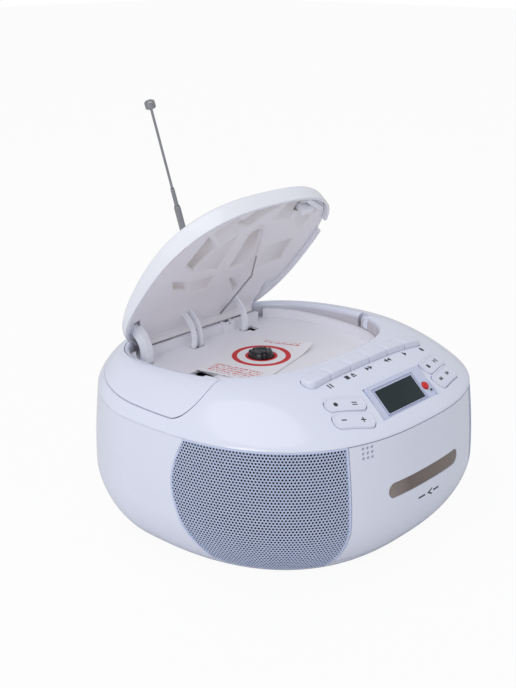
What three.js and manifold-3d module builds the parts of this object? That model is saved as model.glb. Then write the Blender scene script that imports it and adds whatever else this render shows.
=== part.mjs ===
// A portable cd radio with a cassette deck: lid held open, aerial up, handle folded flush.
// Millimetres, +Z up, the controls face -Y. While the pieces are made, the disc spindle stands
// on the line x = 0, y = 0; at the end the whole is moved so that the origin lies on the
// ground in the middle of its bounding box.

import * as THREE from 'three';
import { mergeVertices } from 'three/addons/utils/BufferGeometryUtils.js';
import Module from 'manifold-3d';

const wasm = await Module();
wasm.setup();

// Clearances shared by every piece
const seat = 0.3;
const run = 0.4;
const over = 4;
const weld = 0.0001;
const roundSides = 20;
const smallSides = 10;
const noseSides = 28;
const outlineSides = 44;
const curveSteps = 6;

// The cabinet's plan outline and side profile
const body = {
  halfWidth: 128, frontDepth: 145, backDepth: 113, frontSquareness: 2.55, backSquareness: 1.75,
  underside: 3, seam: 97.5, wall: 3, bowlTop: 43.5, undersideInset: 25, bowlRoundness: 1.58,
  bulge: 3.8,
};
const bulgeReachShare = 0.9;
const bowlHeightShares = [0, 0.04, 0.1, 0.2, 0.34, 0.54, 0.77, 1];

// The crest round the disc well, and how the shoulder rises to it
const crest = {
  halfWidth: 88, halfLength: 78, centreY: 5.5, squareness: 2.7, height: 124.8, rearDrop: 11,
  dropPower: 2.2, shoulderPower: 1.8, lipWidth: 5, lipDrop: 3, skirtWall: 2.2, skirtFoot: 105,
};
const shoulderShares = [0, 0.09, 0.21, 0.38, 0.62, 1];
const lipShares = [0.5, 0.3];

// The disc deck: a tray hung in the well
const deck = {
  outer: 82.7, inner: 78.5, floorTop: 104.5, floor: 2, rimTop: 112.3,
  barFront: 57, barBack: 60, barHalfWidth: 58, barTop: 111.6, gateHalfWidth: 73,
};
const lidSpringNotch = { x: 24, width: 7, depth: 4 };
const hubHole = 14.7;
const latchHole = { left: -60, right: -50, front: -2, back: 12.5 };
const pickupSlot = { left: -49, right: -18, front: -8, back: 12.5 };
const rearHole = { left: 36.8, right: 44.5, front: 42.5, back: 52.5 };

// The lid, drawn closed and hung open on its hinge line
const hinge = {
  y: 68, z: 110.5, openDegrees: 51, pin: 1.2, barrel: 2.6, lug: 2.2, lugInner: 26.6,
  barrelInner: 30, barrelOuter: 38, lugOuter: 41.4,
};
const lid = {
  halfWidth: 80.6, base: 113, wall: 2.2, rearCut: 72.6, crown: 128, guardFrom: 40, rimGap: 0.9,
};
const lidReachShares = [1, 1, 0.975, 0.92, 0.75, 0.45, 0];
const lidRiseShares = [0, 0.53, 0.69, 0.78, 0.89, 0.97, 1];
const panel = { rise: 2.5, thickness: 1.5, rear: 42 };
const clampRib = { x: 11, halfWidth: 6, length: 44, height: 1.6, wall: 1.4, front: -34 };
const hook = { x: 40, y: -48.5, width: 12, length: 7, drop: 3.5, top: 122 };
const arm = { inner: 17.5, outer: 21.5, sweepDegrees: 74, top: 117.6, play: 1 };
const armStations = [
  { left: -66, right: -62 },
  { left: -21, right: -18.5 },
  { left: -14.5, right: -12 },
  { left: 32, right: 36 },
];
const lidWire = {
  x: 24, radius: 0.6, rear: 64, rearZ: 112, bendY: 19, bendZ: 109.6, tipY: 2, tipZ: 114.6,
};

// The carrying handle, folded into a recess round the top rear
const handle = {
  thickness: 6, pivotY: -32.6, pivotZ: 116, nose: 10.9, knuckle: 7, trunnion: 4, trunnionReach: 3,
  innerEnd: 84, innerRim: 90.4, shoulder: 15, knuckleOuter: 102,
};

// The six cassette keys in one slot
const keys = {
  count: 6, pitch: 20, centreX: 2.5, front: -94.5, back: -81.5, proud: 2, foot: 110, flange: 1.6,
  flangeReach: 2.5, corner: 5.5,
};
const keyNames = [
  'key_pause', 'key_stop_eject', 'key_fast_forward', 'key_rewind', 'key_play', 'key_record',
];

// Rocker pills beside the display, by centre and turn
const rocker = { width: 8.6, length: 27, proud: 1, depth: 3.4, gap: 0.5 };
const rockerPlaces = [
  { name: 'rocker_function', x: -47.6, y: -114.4, turnDegrees: -28 },
  { name: 'rocker_volume', x: -49.6, y: -123.2, turnDegrees: -28 },
  { name: 'rocker_play', x: 50.6, y: -111.4, turnDegrees: 15 },
  { name: 'rocker_skip', x: 49, y: -123, turnDegrees: 15 },
];

// The display group, tilted with the front slope
const display = { y: -122.5, z: 110, tiltDegrees: 42, halfWidth: 19.6, halfHeight: 8.2 };
const bezel = {
  topLeft: -24, topRight: 31, top: 13, bottomLeft: -31, bottomRight: 30, bottom: -11, face: 1,
  thickness: 2.4, post: 1.8, postX: 24, postY: 5,
};
const glass = { margin: 1.8, thickness: 2 };
const lamp = { x: 25.2, y: -2, radius: 2.7, proud: 0.6, depth: 4 };
const controlBoard = { halfWidth: 48, bottom: -6, top: 12.5, depth: 9, thickness: 1.6 };

// Speakers behind the perforated grilles
const grille = {
  thickness: 1.4, inner: 66, foot: 9, topY: -49, highZ: 80, rearY: -41.4, rearZ: 67.2, lowZ: 52,
  turnY: -56.5, turnZ: 25.5, toeY: -61.1, toeZ: 14.4, cornerY: -63.4, footY: -92,
};
const speaker = {
  x: 88, y: -92, z: 54, alongX: 0.8, alongY: -0.6, flange: 33, flangeThickness: 2, throat: 13,
  basketDepth: 18, magnet: 17, magnetDepth: 10, coneDepth: 10, coneWall: 0.8, coneGap: 1.5, dome: 9,
  domeRise: 3, opening: 30, seatWall: 3, seatReach: 24,
};

// The cassette door, its window and what it carries
const door = {
  halfWidth: 65.3, gap: 0.5, foot: 15, top: 96.9, thickness: 2.6, axisY: -128.8, axisZ: 15,
  openDegrees: 20, ear: 3.2, earInner: 28, earOuter: 33.6, earBack: -127, earTop: 22, pin: 1.5,
  pinEnd: 37.2, lugInner: 34, lugOuter: 38, lugFront: -131, lugBack: -124, lugTop: 18.4,
  openingBack: -100,
};
const doorSwingShares = [0, 0.5, 1];
const windowSlot = { halfWidth: 38, halfHeight: 5.3, z: 60.6, inset: 0.6, thickness: 1.4 };
const gripDots = { x: -53, z: 91.3, pitch: 3.2, count: 3, radius: 0.7, depth: 0.8 };
const holder = { halfWidth: 54, rail: 3, foot: 28, shelf: 1.5, top: 82, back: -124 };

// The cassette mechanism behind the door
const tape = {
  plateFront: -119, plateBack: -117, halfWidth: 50, foot: 28, top: 88, hubX: 21.25, hubZ: 60.6,
  legX: 42, leg: 3.5, legY: -102, legFoot: 6.3,
};
const reel = {
  disc: 8, discFront: -122, spindle: 3.2, spindleFront: -131, fins: 3, fin: 1.2, finReach: 4.4,
  shaft: 1.5, shaftBack: -114,
};
const capstan = {
  x: 20, z: 38, shaft: 1.2, front: -129, wheel: 17, wheelFront: -113, wheelBack: -109,
};
const tapeMotor = {
  x: -26, z: 44, pulley: 5, shaft: 1, shaftBack: -103, body: 14, bodyFront: -105, bodyBack: -84,
  postX: -30, post: 2.5, postReach: 9.8,
};
const belt = { wall: 1.2, front: -112.3, back: -109.7 };
const head = { halfWidth: 7, foot: 33, top: 45, front: -130 };

// The disc mechanism under the deck
const platter = {
  radius: 14, top: 104.2, thickness: 1.4, hub: 8.75, hubTop: 109.6, notches: 3, notch: 1.3,
  notchFoot: 107, shaft: 1.5, foot: 93,
};
const discMotor = { radius: 12, top: 99 };
const discPlate = {
  left: -72, right: 26, front: -26, back: 26, top: 87, thickness: 2, post: 3.5, postInset: 5,
};
const rail = { y: 14, z: 92.5, radius: 1.5, left: -66, right: -14, stand: 3 };
const sled = {
  x: -40, halfLength: 8, halfWidth: 18, foot: 89.6, top: 96.8, lens: 3.6, lensTop: 101.2, bore: 1.9,
};
const card = {
  reach: 26.7, left: -50, back: 27, foot: 104.8, thickness: 0.4, hole: 9.6, turnDegrees: 13.5,
};

// Supply, boards, rear fittings and feet
const mainBoard = {
  left: -74, right: 22, front: -70, back: 20, foot: 14, thickness: 1.6, post: 3.5, inset: 6,
};
const transformer = {
  left: 36, right: 80, front: 0, back: 40, foot: 6.4, height: 38, coreLow: 13, coreHigh: 31, coil: 5,
};
const inlet = {
  x: -60, z: 44, halfWidth: 9, halfHeight: 7, front: 66, face: 83, flange: 2, margin: 2.4, wall: 2,
  pin: 1, pinX: 4, socketDepth: 9,
};
const batteryBox = {
  left: -40, right: 56, foot: 20, top: 68, back: 60, wall: 2, ledge: 2.5, skin: 2.2,
};
const footPad = { radius: 7, height: 2.7, x: 68, frontY: -78, rearX: 60, rearY: 46 };

// The telescopic aerial on the rear
const aerial = { x: 59.8, y: 117, z: 92, leanDegrees: -16.8 };
const aerialMount = {
  radius: 6, root: 74, end: 112.6, flange: 8.5, flangeFront: 75, flangeBack: 78,
};
const swivel = {
  radius: 5.5, back: 112.9, front: 113.9, cheekInner: 1.9, cheekOuter: 4.2, cheekTop: 4,
  cheekBack: 120.5,
};
const blade = { half: 1.6, round: 2.8, pin: 1, neck: 2.2 };
const aerialTubes = {
  outer: 2.6, outerBore: 1.95, outerFoot: 6, outerTop: 104.5, boreFoot: 12, crimp: 1.5, lip: 0.4,
  middle: 1.65, middleBore: 1.3, middleFoot: 26, middleTop: 119.5, rod: 1, rodFoot: 110,
  rodTop: 185, tip: 4, tipHeight: 6,
};
const tipShares = { foot: 0.8, top: 0.7 };

const degrees = THREE.MathUtils.degToRad;
const fullTurn = 360;

// Materials, after the photograph
function plastic(color, roughness = 0.3) {
  return new THREE.MeshStandardMaterial({ color, roughness, metalness: 0 });
}
function metal(color, roughness = 0.3) {
  return new THREE.MeshStandardMaterial({ color, roughness, metalness: 1 });
}
const whiteGloss = plastic(0xeceef6);
const whiteSatin = plastic(0xe4e3e6, 0.5);
const grilleSilver = metal(0xaab0be, 0.4);
const blackPlastic = plastic(0x16171a, 0.4);
const darkGlass = plastic(0x2a3537, 0.1);
const tintedWindow = plastic(0x8b7f72, 0.15);
const redLamp = plastic(0xd8202a, 0.2);
const steel = metal(0xb9bbc0, 0.25);
const motorMetal = metal(0x8c8f96, 0.6);
const board = plastic(0x1f5a38, 0.6);
const paper = plastic(0xf4f3f1, 0.9);
const rubber = plastic(0x2b2b2d, 0.9);
const coneBlack = plastic(0x222326, 0.8);

// Solids from geometries: shared vertices merged, faces turned outwards
function toSolid(geometry) {
  const bare = geometry.clone();
  bare.deleteAttribute('normal');
  bare.deleteAttribute('uv');
  const merged = mergeVertices(bare, weld);
  const spots = merged.getAttribute('position');
  const corners = merged.index.array;
  const point = (index) => new THREE.Vector3().fromBufferAttribute(spots, index);
  const kept = [];
  let volume = 0;
  for (let i = 0; i < corners.length; i += 3) {
    const [a, b, c] = [corners[i], corners[i + 1], corners[i + 2]];
    if (a === b || b === c || c === a) continue;
    kept.push(a, b, c);
    volume += point(a).dot(point(b).cross(point(c)));
  }
  if (volume < 0) kept.reverse();
  const mesh = new wasm.Mesh({
    numProp: 3,
    vertProperties: new Float32Array(spots.array),
    triVerts: new Uint32Array(kept),
  });
  return new wasm.Manifold(mesh);
}

function join(solids) {
  return solids.reduce((whole, solid) => whole.add(solid));
}

function block(left, right, front, back, low, high) {
  const geometry = new THREE.BoxGeometry(right - left, back - front, high - low);
  geometry.translate((left + right) / 2, (front + back) / 2, (low + high) / 2);
  return toSolid(geometry);
}

// A round bar along x, y or z; a and b are its place on the other two axes, in their order
function bar(axis, radius, from, to, a, b, sides = roundSides) {
  const geometry = new THREE.CylinderGeometry(radius, radius, to - from, sides);
  geometry.translate(0, (from + to) / 2, 0);
  if (axis === 'x') geometry.rotateZ(-Math.PI / 2).translate(0, a, b);
  if (axis === 'y') geometry.translate(a, 0, b);
  if (axis === 'z') geometry.rotateX(Math.PI / 2).translate(a, b, 0);
  return toSolid(geometry);
}

function drawnOut(shape, depth) {
  const settings = { depth, bevelEnabled: false, curveSegments: curveSteps };
  return new THREE.ExtrudeGeometry(shape, settings);
}

function prism(shape, low, high) {
  return toSolid(drawnOut(shape, high - low).translate(0, 0, low));
}

// A shape drawn in the side view, (y, z), and drawn out along x
function sideways(shape, left, right) {
  const geometry = drawnOut(shape, right - left);
  geometry.rotateY(Math.PI / 2).rotateX(Math.PI / 2).translate(left, 0, 0);
  return toSolid(geometry);
}

// A shape drawn in the front view, (x, z), and drawn out along y
function frontwards(shape, front, back) {
  return toSolid(drawnOut(shape, back - front).rotateX(Math.PI / 2).translate(0, back, 0));
}

function roundedBar(halfWidth, halfHeight, radius, shape = new THREE.Shape()) {
  shape.moveTo(-halfWidth + radius, -halfHeight);
  shape.lineTo(halfWidth - radius, -halfHeight);
  shape.absarc(halfWidth - radius, -halfHeight + radius, radius, -Math.PI / 2, 0);
  shape.absarc(halfWidth - radius, halfHeight - radius, radius, 0, Math.PI / 2);
  shape.absarc(-halfWidth + radius, halfHeight - radius, radius, Math.PI / 2, Math.PI);
  shape.absarc(-halfWidth + radius, -halfHeight + radius, radius, Math.PI, Math.PI * 1.5);
  return shape;
}

// Rounded-square outlines: the share of half width and of depth reached in each direction
function outlineShares(angle, frontSquareness, backSquareness) {
  const across = Math.cos(angle);
  const along = Math.sin(angle);
  const power = 2 / (along < 0 ? frontSquareness : backSquareness);
  return [Math.sign(across) * Math.abs(across) ** power, Math.sign(along) * Math.abs(along) ** power];
}

// A turned profile of [reach at the side, height], bent to one of the outlines below
function moulded(profile, bend) {
  const points = profile.map(([reach, height]) => new THREE.Vector2(reach, height));
  const geometry = new THREE.LatheGeometry(points, outlineSides);
  const spots = geometry.getAttribute('position');
  for (let i = 0; i < spots.count; i += 1) {
    const along = spots.getX(i);
    const across = spots.getZ(i);
    const reach = Math.hypot(along, across);
    const angle = reach > weld ? Math.atan2(along, across) : 0;
    spots.setXYZ(i, ...bend(reach > weld ? reach : 0, angle, spots.getY(i)));
  }
  return toSolid(geometry);
}

function cabinetOutline(reach, angle) {
  const [across, along] = outlineShares(angle, body.frontSquareness, body.backSquareness);
  const depth = along < 0 ? body.frontDepth : body.backDepth;
  return [reach * across, reach * along * depth / body.halfWidth];
}

function crestOutline(reach, angle) {
  const [across, along] = outlineShares(angle, crest.squareness, crest.squareness);
  return [reach * across, crest.centreY + reach * along * crest.halfLength / crest.halfWidth];
}

function crestHeight(y) {
  const front = crest.centreY - crest.halfLength;
  const share = Math.max(0, y - front) / (crest.halfLength * 2);
  return crest.height - crest.rearDrop * share ** crest.dropPower;
}

function bendBowl(reach, angle, height) {
  return [...cabinetOutline(reach, angle), height];
}

// Between the seam and the crest the outline changes from the cabinet's to the well's
function bendTop(reach, angle, height) {
  const inward = (body.halfWidth - reach) / (body.halfWidth - crest.halfWidth);
  const rim = crestOutline(Math.min(reach, crest.halfWidth), angle);
  const wide = cabinetOutline(body.halfWidth, angle);
  const share = Math.min(1, inward);
  const x = wide[0] + (rim[0] - wide[0]) * share;
  const y = wide[1] + (rim[1] - wide[1]) * share;
  const rise = height - body.seam;
  const fall = (crestHeight(rim[1]) - body.seam) / (crest.height - body.seam);
  return [x, y, body.seam + (rise > 0 ? rise * fall : rise)];
}

function bowlReach(height) {
  const below = Math.max(0, body.bowlTop - height) / (body.bowlTop - body.underside);
  const inset = body.undersideInset * (1 - (1 - below ** body.bowlRoundness) ** (1 / body.bowlRoundness));
  const share = (body.seam - height) / (body.seam - body.underside);
  return body.halfWidth - inset + body.bulge * Math.sin(Math.PI * bulgeReachShare * Math.max(0, share));
}

// The lower cabinet's form, or the form that lies depth inside it, open upwards past the seam
function bowlForm(depth) {
  const profile = bowlHeightShares.map((share) => {
    const height = body.underside + (body.seam - body.underside) * share;
    return [bowlReach(height) - depth, height + depth * (1 - share)];
  });
  const top = depth > 0 ? body.seam + over : body.seam - seat;
  profile[profile.length - 1][1] = top;
  return moulded([[0, profile[0][1]], ...profile, [0, top]], bendBowl);
}

// The top's form, or the form that lies depth inside it
function topForm(depth) {
  const reach = body.halfWidth - depth;
  const height = crest.height - depth;
  const low = depth > 0 ? body.seam - over : body.seam;
  const profile = shoulderShares.map((share) => [
    reach + (crest.halfWidth - reach) * share,
    body.seam + (height - body.seam) * (1 - (1 - share) ** crest.shoulderPower),
  ]);
  if (depth > 0) profile.unshift([reach, low]);
  profile.push([crest.halfWidth - crest.lipWidth * lipShares[0], height - crest.lipDrop * lipShares[1]]);
  profile.push([crest.halfWidth - crest.lipWidth, height - crest.lipDrop]);
  return moulded([[0, low], ...profile, [0, height - crest.lipDrop]], bendTop);
}

// An upright wall-less plug with the well's outline
function wellPlug(reach, low, high) {
  const corners = [];
  for (let i = 0; i < outlineSides; i += 1) {
    const [x, y] = crestOutline(reach, Math.PI * 2 * i / outlineSides);
    corners.push(new THREE.Vector2(x, y));
  }
  return prism(new THREE.Shape(corners), low, high);
}

const sky = crest.height + over;
const farLeft = -body.halfWidth - over * 2;
const farRight = -farLeft;
const farFront = -body.frontDepth - over * 2;
const farBack = body.backDepth + over * 2;

// The space that the folded handle fills, grown on every side
function handleSpace(grow) {
  const nose = bar('x', handle.nose + grow, farLeft, farRight, handle.pivotY, handle.pivotZ, noseSides);
  const groove = handle.pivotZ - handle.nose;
  const rear = block(farLeft, farRight, handle.pivotY, farBack, groove - grow, sky);
  const end = handle.innerEnd - grow;
  const shoulder = bar('x', handle.shoulder - grow, -end, end, handle.pivotY, handle.pivotZ, noseSides);
  return nose.add(rear)
    .subtract(block(-end, end, farFront, handle.pivotY, 0, sky))
    .subtract(shoulder)
    .subtract(wellPlug(handle.innerRim - grow, 0, sky));
}

// The place of each rocker, as a plug cut straight down
function rockerPlug(place, grow) {
  const radius = rocker.width / 2 + grow;
  const geometry = drawnOut(roundedBar(rocker.length / 2 + grow, radius, radius), sky - body.seam);
  geometry.rotateZ(degrees(place.turnDegrees)).translate(place.x, place.y, body.seam);
  return toSolid(geometry);
}

// The six keys share one slot with round ends
function keySlot(grow) {
  const width = keys.pitch * keys.count / 2 + grow;
  const depth = (keys.back - keys.front) / 2 + grow;
  return prism(roundedBar(width, depth, keys.corner), body.seam, sky)
    .translate([keys.centreX, (keys.front + keys.back) / 2, 0]);
}

// The display's own frame: x to the right, y up the slope, z out of the glass
const displayPlace = new THREE.Matrix4()
  .makeTranslation(0, display.y, display.z)
  .multiply(new THREE.Matrix4().makeRotationX(degrees(display.tiltDegrees)));

function onDisplay(geometry) {
  return toSolid(geometry.applyMatrix4(displayPlace));
}

function bezelShape(grow) {
  const shape = new THREE.Shape();
  shape.moveTo(bezel.bottomLeft - grow, bezel.bottom - grow);
  shape.lineTo(bezel.bottomRight + grow, bezel.bottom - grow);
  shape.lineTo(bezel.topRight + grow, bezel.top + grow);
  shape.lineTo(bezel.topLeft - grow, bezel.top + grow);
  return shape;
}

function tiltedPrism(shape, low, high) {
  return onDisplay(drawnOut(shape, high - low).translate(0, 0, low));
}

// The speaker's own frame: z points out through the grille
function speakerPlace(side) {
  const out = new THREE.Vector3(speaker.alongX * side, speaker.alongY, 0).normalize();
  const turn = new THREE.Quaternion().setFromUnitVectors(new THREE.Vector3(0, 0, 1), out);
  return new THREE.Matrix4().compose(
    new THREE.Vector3(speaker.x * side, speaker.y, speaker.z), turn, new THREE.Vector3(1, 1, 1),
  );
}

function turned(profile, sides = roundSides) {
  const points = profile.map(([radius, height]) => new THREE.Vector2(radius, height));
  return new THREE.LatheGeometry(points, sides).rotateX(Math.PI / 2);
}

function onSpeaker(side, profile) {
  return toSolid(turned(profile, roundSides).applyMatrix4(speakerPlace(side)));
}

function grilleRegion(side, grow) {
  const shape = new THREE.Shape();
  shape.moveTo(farFront, body.seam + over);
  shape.lineTo(grille.topY + grow, body.seam + over);
  shape.lineTo(grille.topY + grow, body.seam);
  shape.quadraticCurveTo(grille.rearY + grow, grille.highZ, grille.rearY + grow, grille.rearZ);
  shape.bezierCurveTo(
    grille.rearY + grow, grille.lowZ, grille.turnY + grow, grille.turnZ - grow,
    grille.toeY + grow, grille.toeZ - grow,
  );
  shape.quadraticCurveTo(grille.cornerY, grille.foot - grow, grille.footY, grille.foot - grow);
  shape.lineTo(farFront, grille.foot - grow);
  const near = grille.inner - grow;
  return side < 0 ? sideways(shape, farLeft, -near) : sideways(shape, near, farRight);
}

function windowShape(grow) {
  const reach = windowSlot.halfHeight + grow;
  return roundedBar(windowSlot.halfWidth + grow, reach, reach);
}

function windowPlug(grow) {
  const solid = frontwards(windowShape(grow), farFront, door.axisY);
  return solid.translate([0, 0, windowSlot.z]);
}

// A round rod between two points
function rodBetween(from, to, radius, sides = smallSides) {
  const span = to.clone().sub(from);
  const geometry = new THREE.CylinderGeometry(radius, radius, span.length(), sides);
  const turn = new THREE.Quaternion().setFromUnitVectors(new THREE.Vector3(0, 1, 0), span.normalize());
  geometry.applyQuaternion(turn);
  const middle = from.clone().add(to).divideScalar(2);
  return toSolid(geometry.translate(middle.x, middle.y, middle.z));
}

function ball(center, radius) {
  const geometry = new THREE.SphereGeometry(radius, smallSides, smallSides / 2);
  return toSolid(geometry.translate(center.x, center.y, center.z));
}

// Swings a solid about a line along x through the point (y, z)
function swing(solid, angle, y, z) {
  return solid.translate([0, -y, -z]).rotate([angle, 0, 0]).translate([0, y, z]);
}

function openLid(solid) {
  return swing(solid, -hinge.openDegrees, hinge.y, hinge.z);
}

const radio = new THREE.Group();

function add(name, solid, material) {
  const mesh = solid.getMesh();
  const geometry = new THREE.BufferGeometry();
  geometry.setAttribute('position', new THREE.BufferAttribute(new Float32Array(mesh.vertProperties), 3));
  geometry.setIndex(new THREE.BufferAttribute(new Uint32Array(mesh.triVerts), 1));
  geometry.computeVertexNormals();
  const piece = new THREE.Mesh(geometry, material);
  piece.name = name;
  radio.add(piece);
}

const wellReach = crest.halfWidth - crest.lipWidth;
const sides = [{ name: 'left', sign: -1 }, { name: 'right', sign: 1 }];

// A bar along x on one side of the cabinet, between two distances from the middle
function sideBar(sign, radius, near, far, y, z, facets = roundSides) {
  return bar('x', radius, sign < 0 ? -far : near, sign < 0 ? -near : far, y, z, facets);
}

const aerialHole = bar('y', aerialMount.radius + seat, aerialMount.root, farBack, aerial.x, aerial.z);

// Top cabinet: a skin with the disc well, the handle's recess and the control openings
function makeTopCabinet() {
  const { pivotY, pivotZ } = handle;
  const floorDepth = handle.thickness + run;
  const pocket = handle.nose + run;
  const pocketEnd = handle.innerEnd - run;
  let cavity = topForm(body.wall)
    .subtract(handleSpace(run + body.wall))
    .add(topForm(floorDepth + body.wall))
    .subtract(wellPlug(wellReach + crest.skirtWall, crest.skirtFoot, sky));
  for (const { sign } of sides) {
    const near = pocketEnd - body.wall;
    cavity = cavity.subtract(sideBar(sign, pocket + body.wall, near, farRight, pivotY, pivotZ));
  }
  let solid = topForm(0)
    .subtract(cavity)
    .subtract(wellPlug(wellReach, 0, sky))
    .subtract(handleSpace(run).subtract(topForm(floorDepth)))
    .subtract(keySlot(run))
    .subtract(tiltedPrism(bezelShape(seat), -body.wall * 2, body.wall * 2))
    .subtract(aerialHole);
  for (const { sign } of sides) {
    const blind = handle.innerEnd - handle.trunnionReach - run;
    solid = solid
      .subtract(sideBar(sign, pocket, pocketEnd, farRight, pivotY, pivotZ, noseSides))
      .subtract(sideBar(sign, handle.trunnion + run, blind, handle.innerEnd, pivotY, pivotZ));
  }
  for (const place of rockerPlaces) solid = solid.subtract(rockerPlug(place, rocker.gap));
  return solid;
}
add('top_cabinet', makeTopCabinet(), whiteGloss);

// Carrying handle: a flush strip round the top rear that swings on two trunnions
function makeHandle() {
  const whole = topForm(0);
  let solid = whole.subtract(topForm(handle.thickness)).intersect(handleSpace(0));
  for (const { sign } of sides) {
    const { innerEnd, pivotY, pivotZ } = handle;
    const knuckle = sideBar(sign, handle.knuckle, innerEnd, handle.knuckleOuter, pivotY, pivotZ);
    const near = innerEnd - handle.trunnionReach;
    solid = solid
      .add(knuckle.intersect(whole))
      .add(sideBar(sign, handle.trunnion, near, innerEnd + over, pivotY, pivotZ));
  }
  return solid;
}
add('carry_handle', makeHandle(), whiteGloss);

// Cassette keys: one cap each, following the shoulder, with a keeper flange under the skin
keyNames.forEach((name, index) => {
  const left = keys.centreX + (index - keys.count / 2) * keys.pitch + seat / 2;
  const right = left + keys.pitch - seat;
  const cap = keySlot(0)
    .intersect(block(left, right, farFront, farBack, keys.foot, sky))
    .intersect(topForm(0).translate([0, 0, keys.proud]));
  const front = keys.front - keys.flangeReach;
  const back = keys.back + keys.flangeReach;
  const flange = block(left, right, front, back, keys.foot, keys.foot + keys.flange);
  add(name, cap.add(flange), whiteGloss);
});

// Rockers
for (const place of rockerPlaces) {
  const cap = topForm(0).translate([0, 0, rocker.proud]).subtract(topForm(rocker.depth));
  add(place.name, cap.intersect(rockerPlug(place, 0)), whiteGloss);
}

// Display: bezel with posts, the liquid-crystal module, the record lamp and the board behind
function bezelPost(x) {
  const geometry = new THREE.CylinderGeometry(bezel.post, bezel.post, controlBoard.depth - seat, smallSides);
  geometry.translate(0, -(controlBoard.depth - seat) / 2, 0);
  return onDisplay(geometry.rotateX(Math.PI / 2).translate(x, bezel.postY, 0));
}
function lampBody(radius, low, high) {
  const geometry = new THREE.CylinderGeometry(radius, radius, high - low, roundSides);
  return onDisplay(geometry.rotateX(Math.PI / 2).translate(lamp.x, lamp.y, (high + low) / 2));
}
function displayRectangle(halfWidth, bottom, top) {
  const shape = new THREE.Shape();
  shape.moveTo(-halfWidth, bottom);
  shape.lineTo(halfWidth, bottom);
  shape.lineTo(halfWidth, top);
  shape.lineTo(-halfWidth, top);
  return shape;
}
const bezelBack = bezel.face - bezel.thickness;
const displayWindow = displayRectangle(display.halfWidth, -display.halfHeight, display.halfHeight);
const bezelPlate = tiltedPrism(bezelShape(0), bezelBack, bezel.face)
  .subtract(tiltedPrism(displayWindow, -over, over))
  .subtract(lampBody(lamp.radius + seat, -over, over))
  .add(bezelPost(-bezel.postX))
  .add(bezelPost(bezel.postX));
add('display_bezel', bezelPlate, whiteSatin);
const glassHeight = display.halfHeight + glass.margin;
const glassFront = bezelBack - seat;
const glassShape = displayRectangle(display.halfWidth + glass.margin, -glassHeight, glassHeight);
add('display_glass', tiltedPrism(glassShape, glassFront - glass.thickness, glassFront), darkGlass);
add('record_lamp', lampBody(lamp.radius, -lamp.depth, bezel.face + lamp.proud), redLamp);
add('control_board', tiltedPrism(
  displayRectangle(controlBoard.halfWidth, controlBoard.bottom, controlBoard.top),
  -controlBoard.depth - controlBoard.thickness, -controlBoard.depth,
), board);

// Disc deck: tray with the spring bar, hinge lugs and the openings in its floor
const deckUnderside = deck.floorTop - deck.floor;
function armSlot(left, right) {
  const drop = hinge.z - deckUnderside;
  const back = hinge.y - Math.sqrt(arm.inner ** 2 - drop ** 2) + run;
  const front = hinge.y - arm.outer - run;
  return block(left - arm.play, right + arm.play, front, back, deckUnderside - over, sky);
}
function makeDeck() {
  let solid = wellPlug(deck.outer, deckUnderside, deck.rimTop)
    .subtract(wellPlug(deck.inner, deck.floorTop, sky))
    .subtract(block(-deck.gateHalfWidth, deck.gateHalfWidth, deck.barBack, farBack, deck.floorTop, sky))
    .add(block(
      -deck.barHalfWidth, deck.barHalfWidth, deck.barFront, deck.barBack, deckUnderside, deck.barTop,
    ));
  for (const { sign } of sides) {
    for (const near of [hinge.lugInner, hinge.barrelOuter + run]) {
      const far = near === hinge.lugInner ? hinge.barrelInner - run : hinge.lugOuter;
      const left = sign < 0 ? -far : near;
      const right = sign < 0 ? -near : far;
      solid = solid
        .add(block(
          left, right, hinge.y - hinge.lug, hinge.y + hinge.lug, deckUnderside, hinge.z,
        ))
        .add(bar('x', hinge.lug, left, right, hinge.y, hinge.z));
    }
  }
  const notch = lidSpringNotch.width / 2;
  const pinEnd = hinge.lugOuter + over;
  const below = deckUnderside - over;
  solid = solid
    .subtract(bar('x', hinge.pin + seat, -pinEnd, pinEnd, hinge.y, hinge.z))
    .subtract(block(
      lidSpringNotch.x - notch, lidSpringNotch.x + notch, deck.barFront - over, deck.barBack + over,
      deck.barTop - lidSpringNotch.depth, sky,
    ))
    .subtract(bar('z', hubHole, below, sky, 0, 0, outlineSides / 2));
  for (const hole of [latchHole, pickupSlot, rearHole]) {
    solid = solid.subtract(block(hole.left, hole.right, hole.front, hole.back, below, sky));
  }
  solid = solid.subtract(armSlot(armStations[0].left, armStations[0].right));
  solid = solid.subtract(armSlot(armStations[1].left, armStations[2].right));
  return solid.subtract(armSlot(armStations[3].left, armStations[3].right));
}
add('disc_deck', makeDeck(), whiteSatin);

// Lid: a shallow shell with four curved arms, two hinge barrels and a latch hook
function lidForm(depth) {
  const reach = lid.halfWidth - depth;
  const floor = depth > 0 ? lid.base - over : lid.base;
  const profile = lidReachShares.map((share, index) => [
    reach * share, lid.base + (lid.crown - lid.base) * lidRiseShares[index],
  ]);
  profile[0][1] = floor;
  const bend = (radius, angle, height) => {
    const [x, y] = crestOutline(radius, angle);
    if (height <= lid.base) return [x, y, height];
    const fall = (crestHeight(y) - lid.base) / (crest.height - lid.base);
    const least = depth > 0 ? lid.base - lid.wall / 2 : lid.base;
    return [x, y, Math.max(lid.base + (height - lid.base) * fall - depth, least)];
  };
  return moulded([[0, floor], ...profile], bend);
}
function lidArm(station) {
  const end = Math.PI + degrees(arm.sweepDegrees);
  const shape = new THREE.Shape();
  shape.absarc(hinge.y, hinge.z, arm.outer, Math.PI, end);
  shape.absarc(hinge.y, hinge.z, arm.inner, end, Math.PI, true);
  const post = block(
    station.left, station.right, hinge.y - arm.outer, hinge.y - arm.inner, hinge.z, arm.top,
  );
  return sideways(shape, station.left, station.right).add(post);
}
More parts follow.
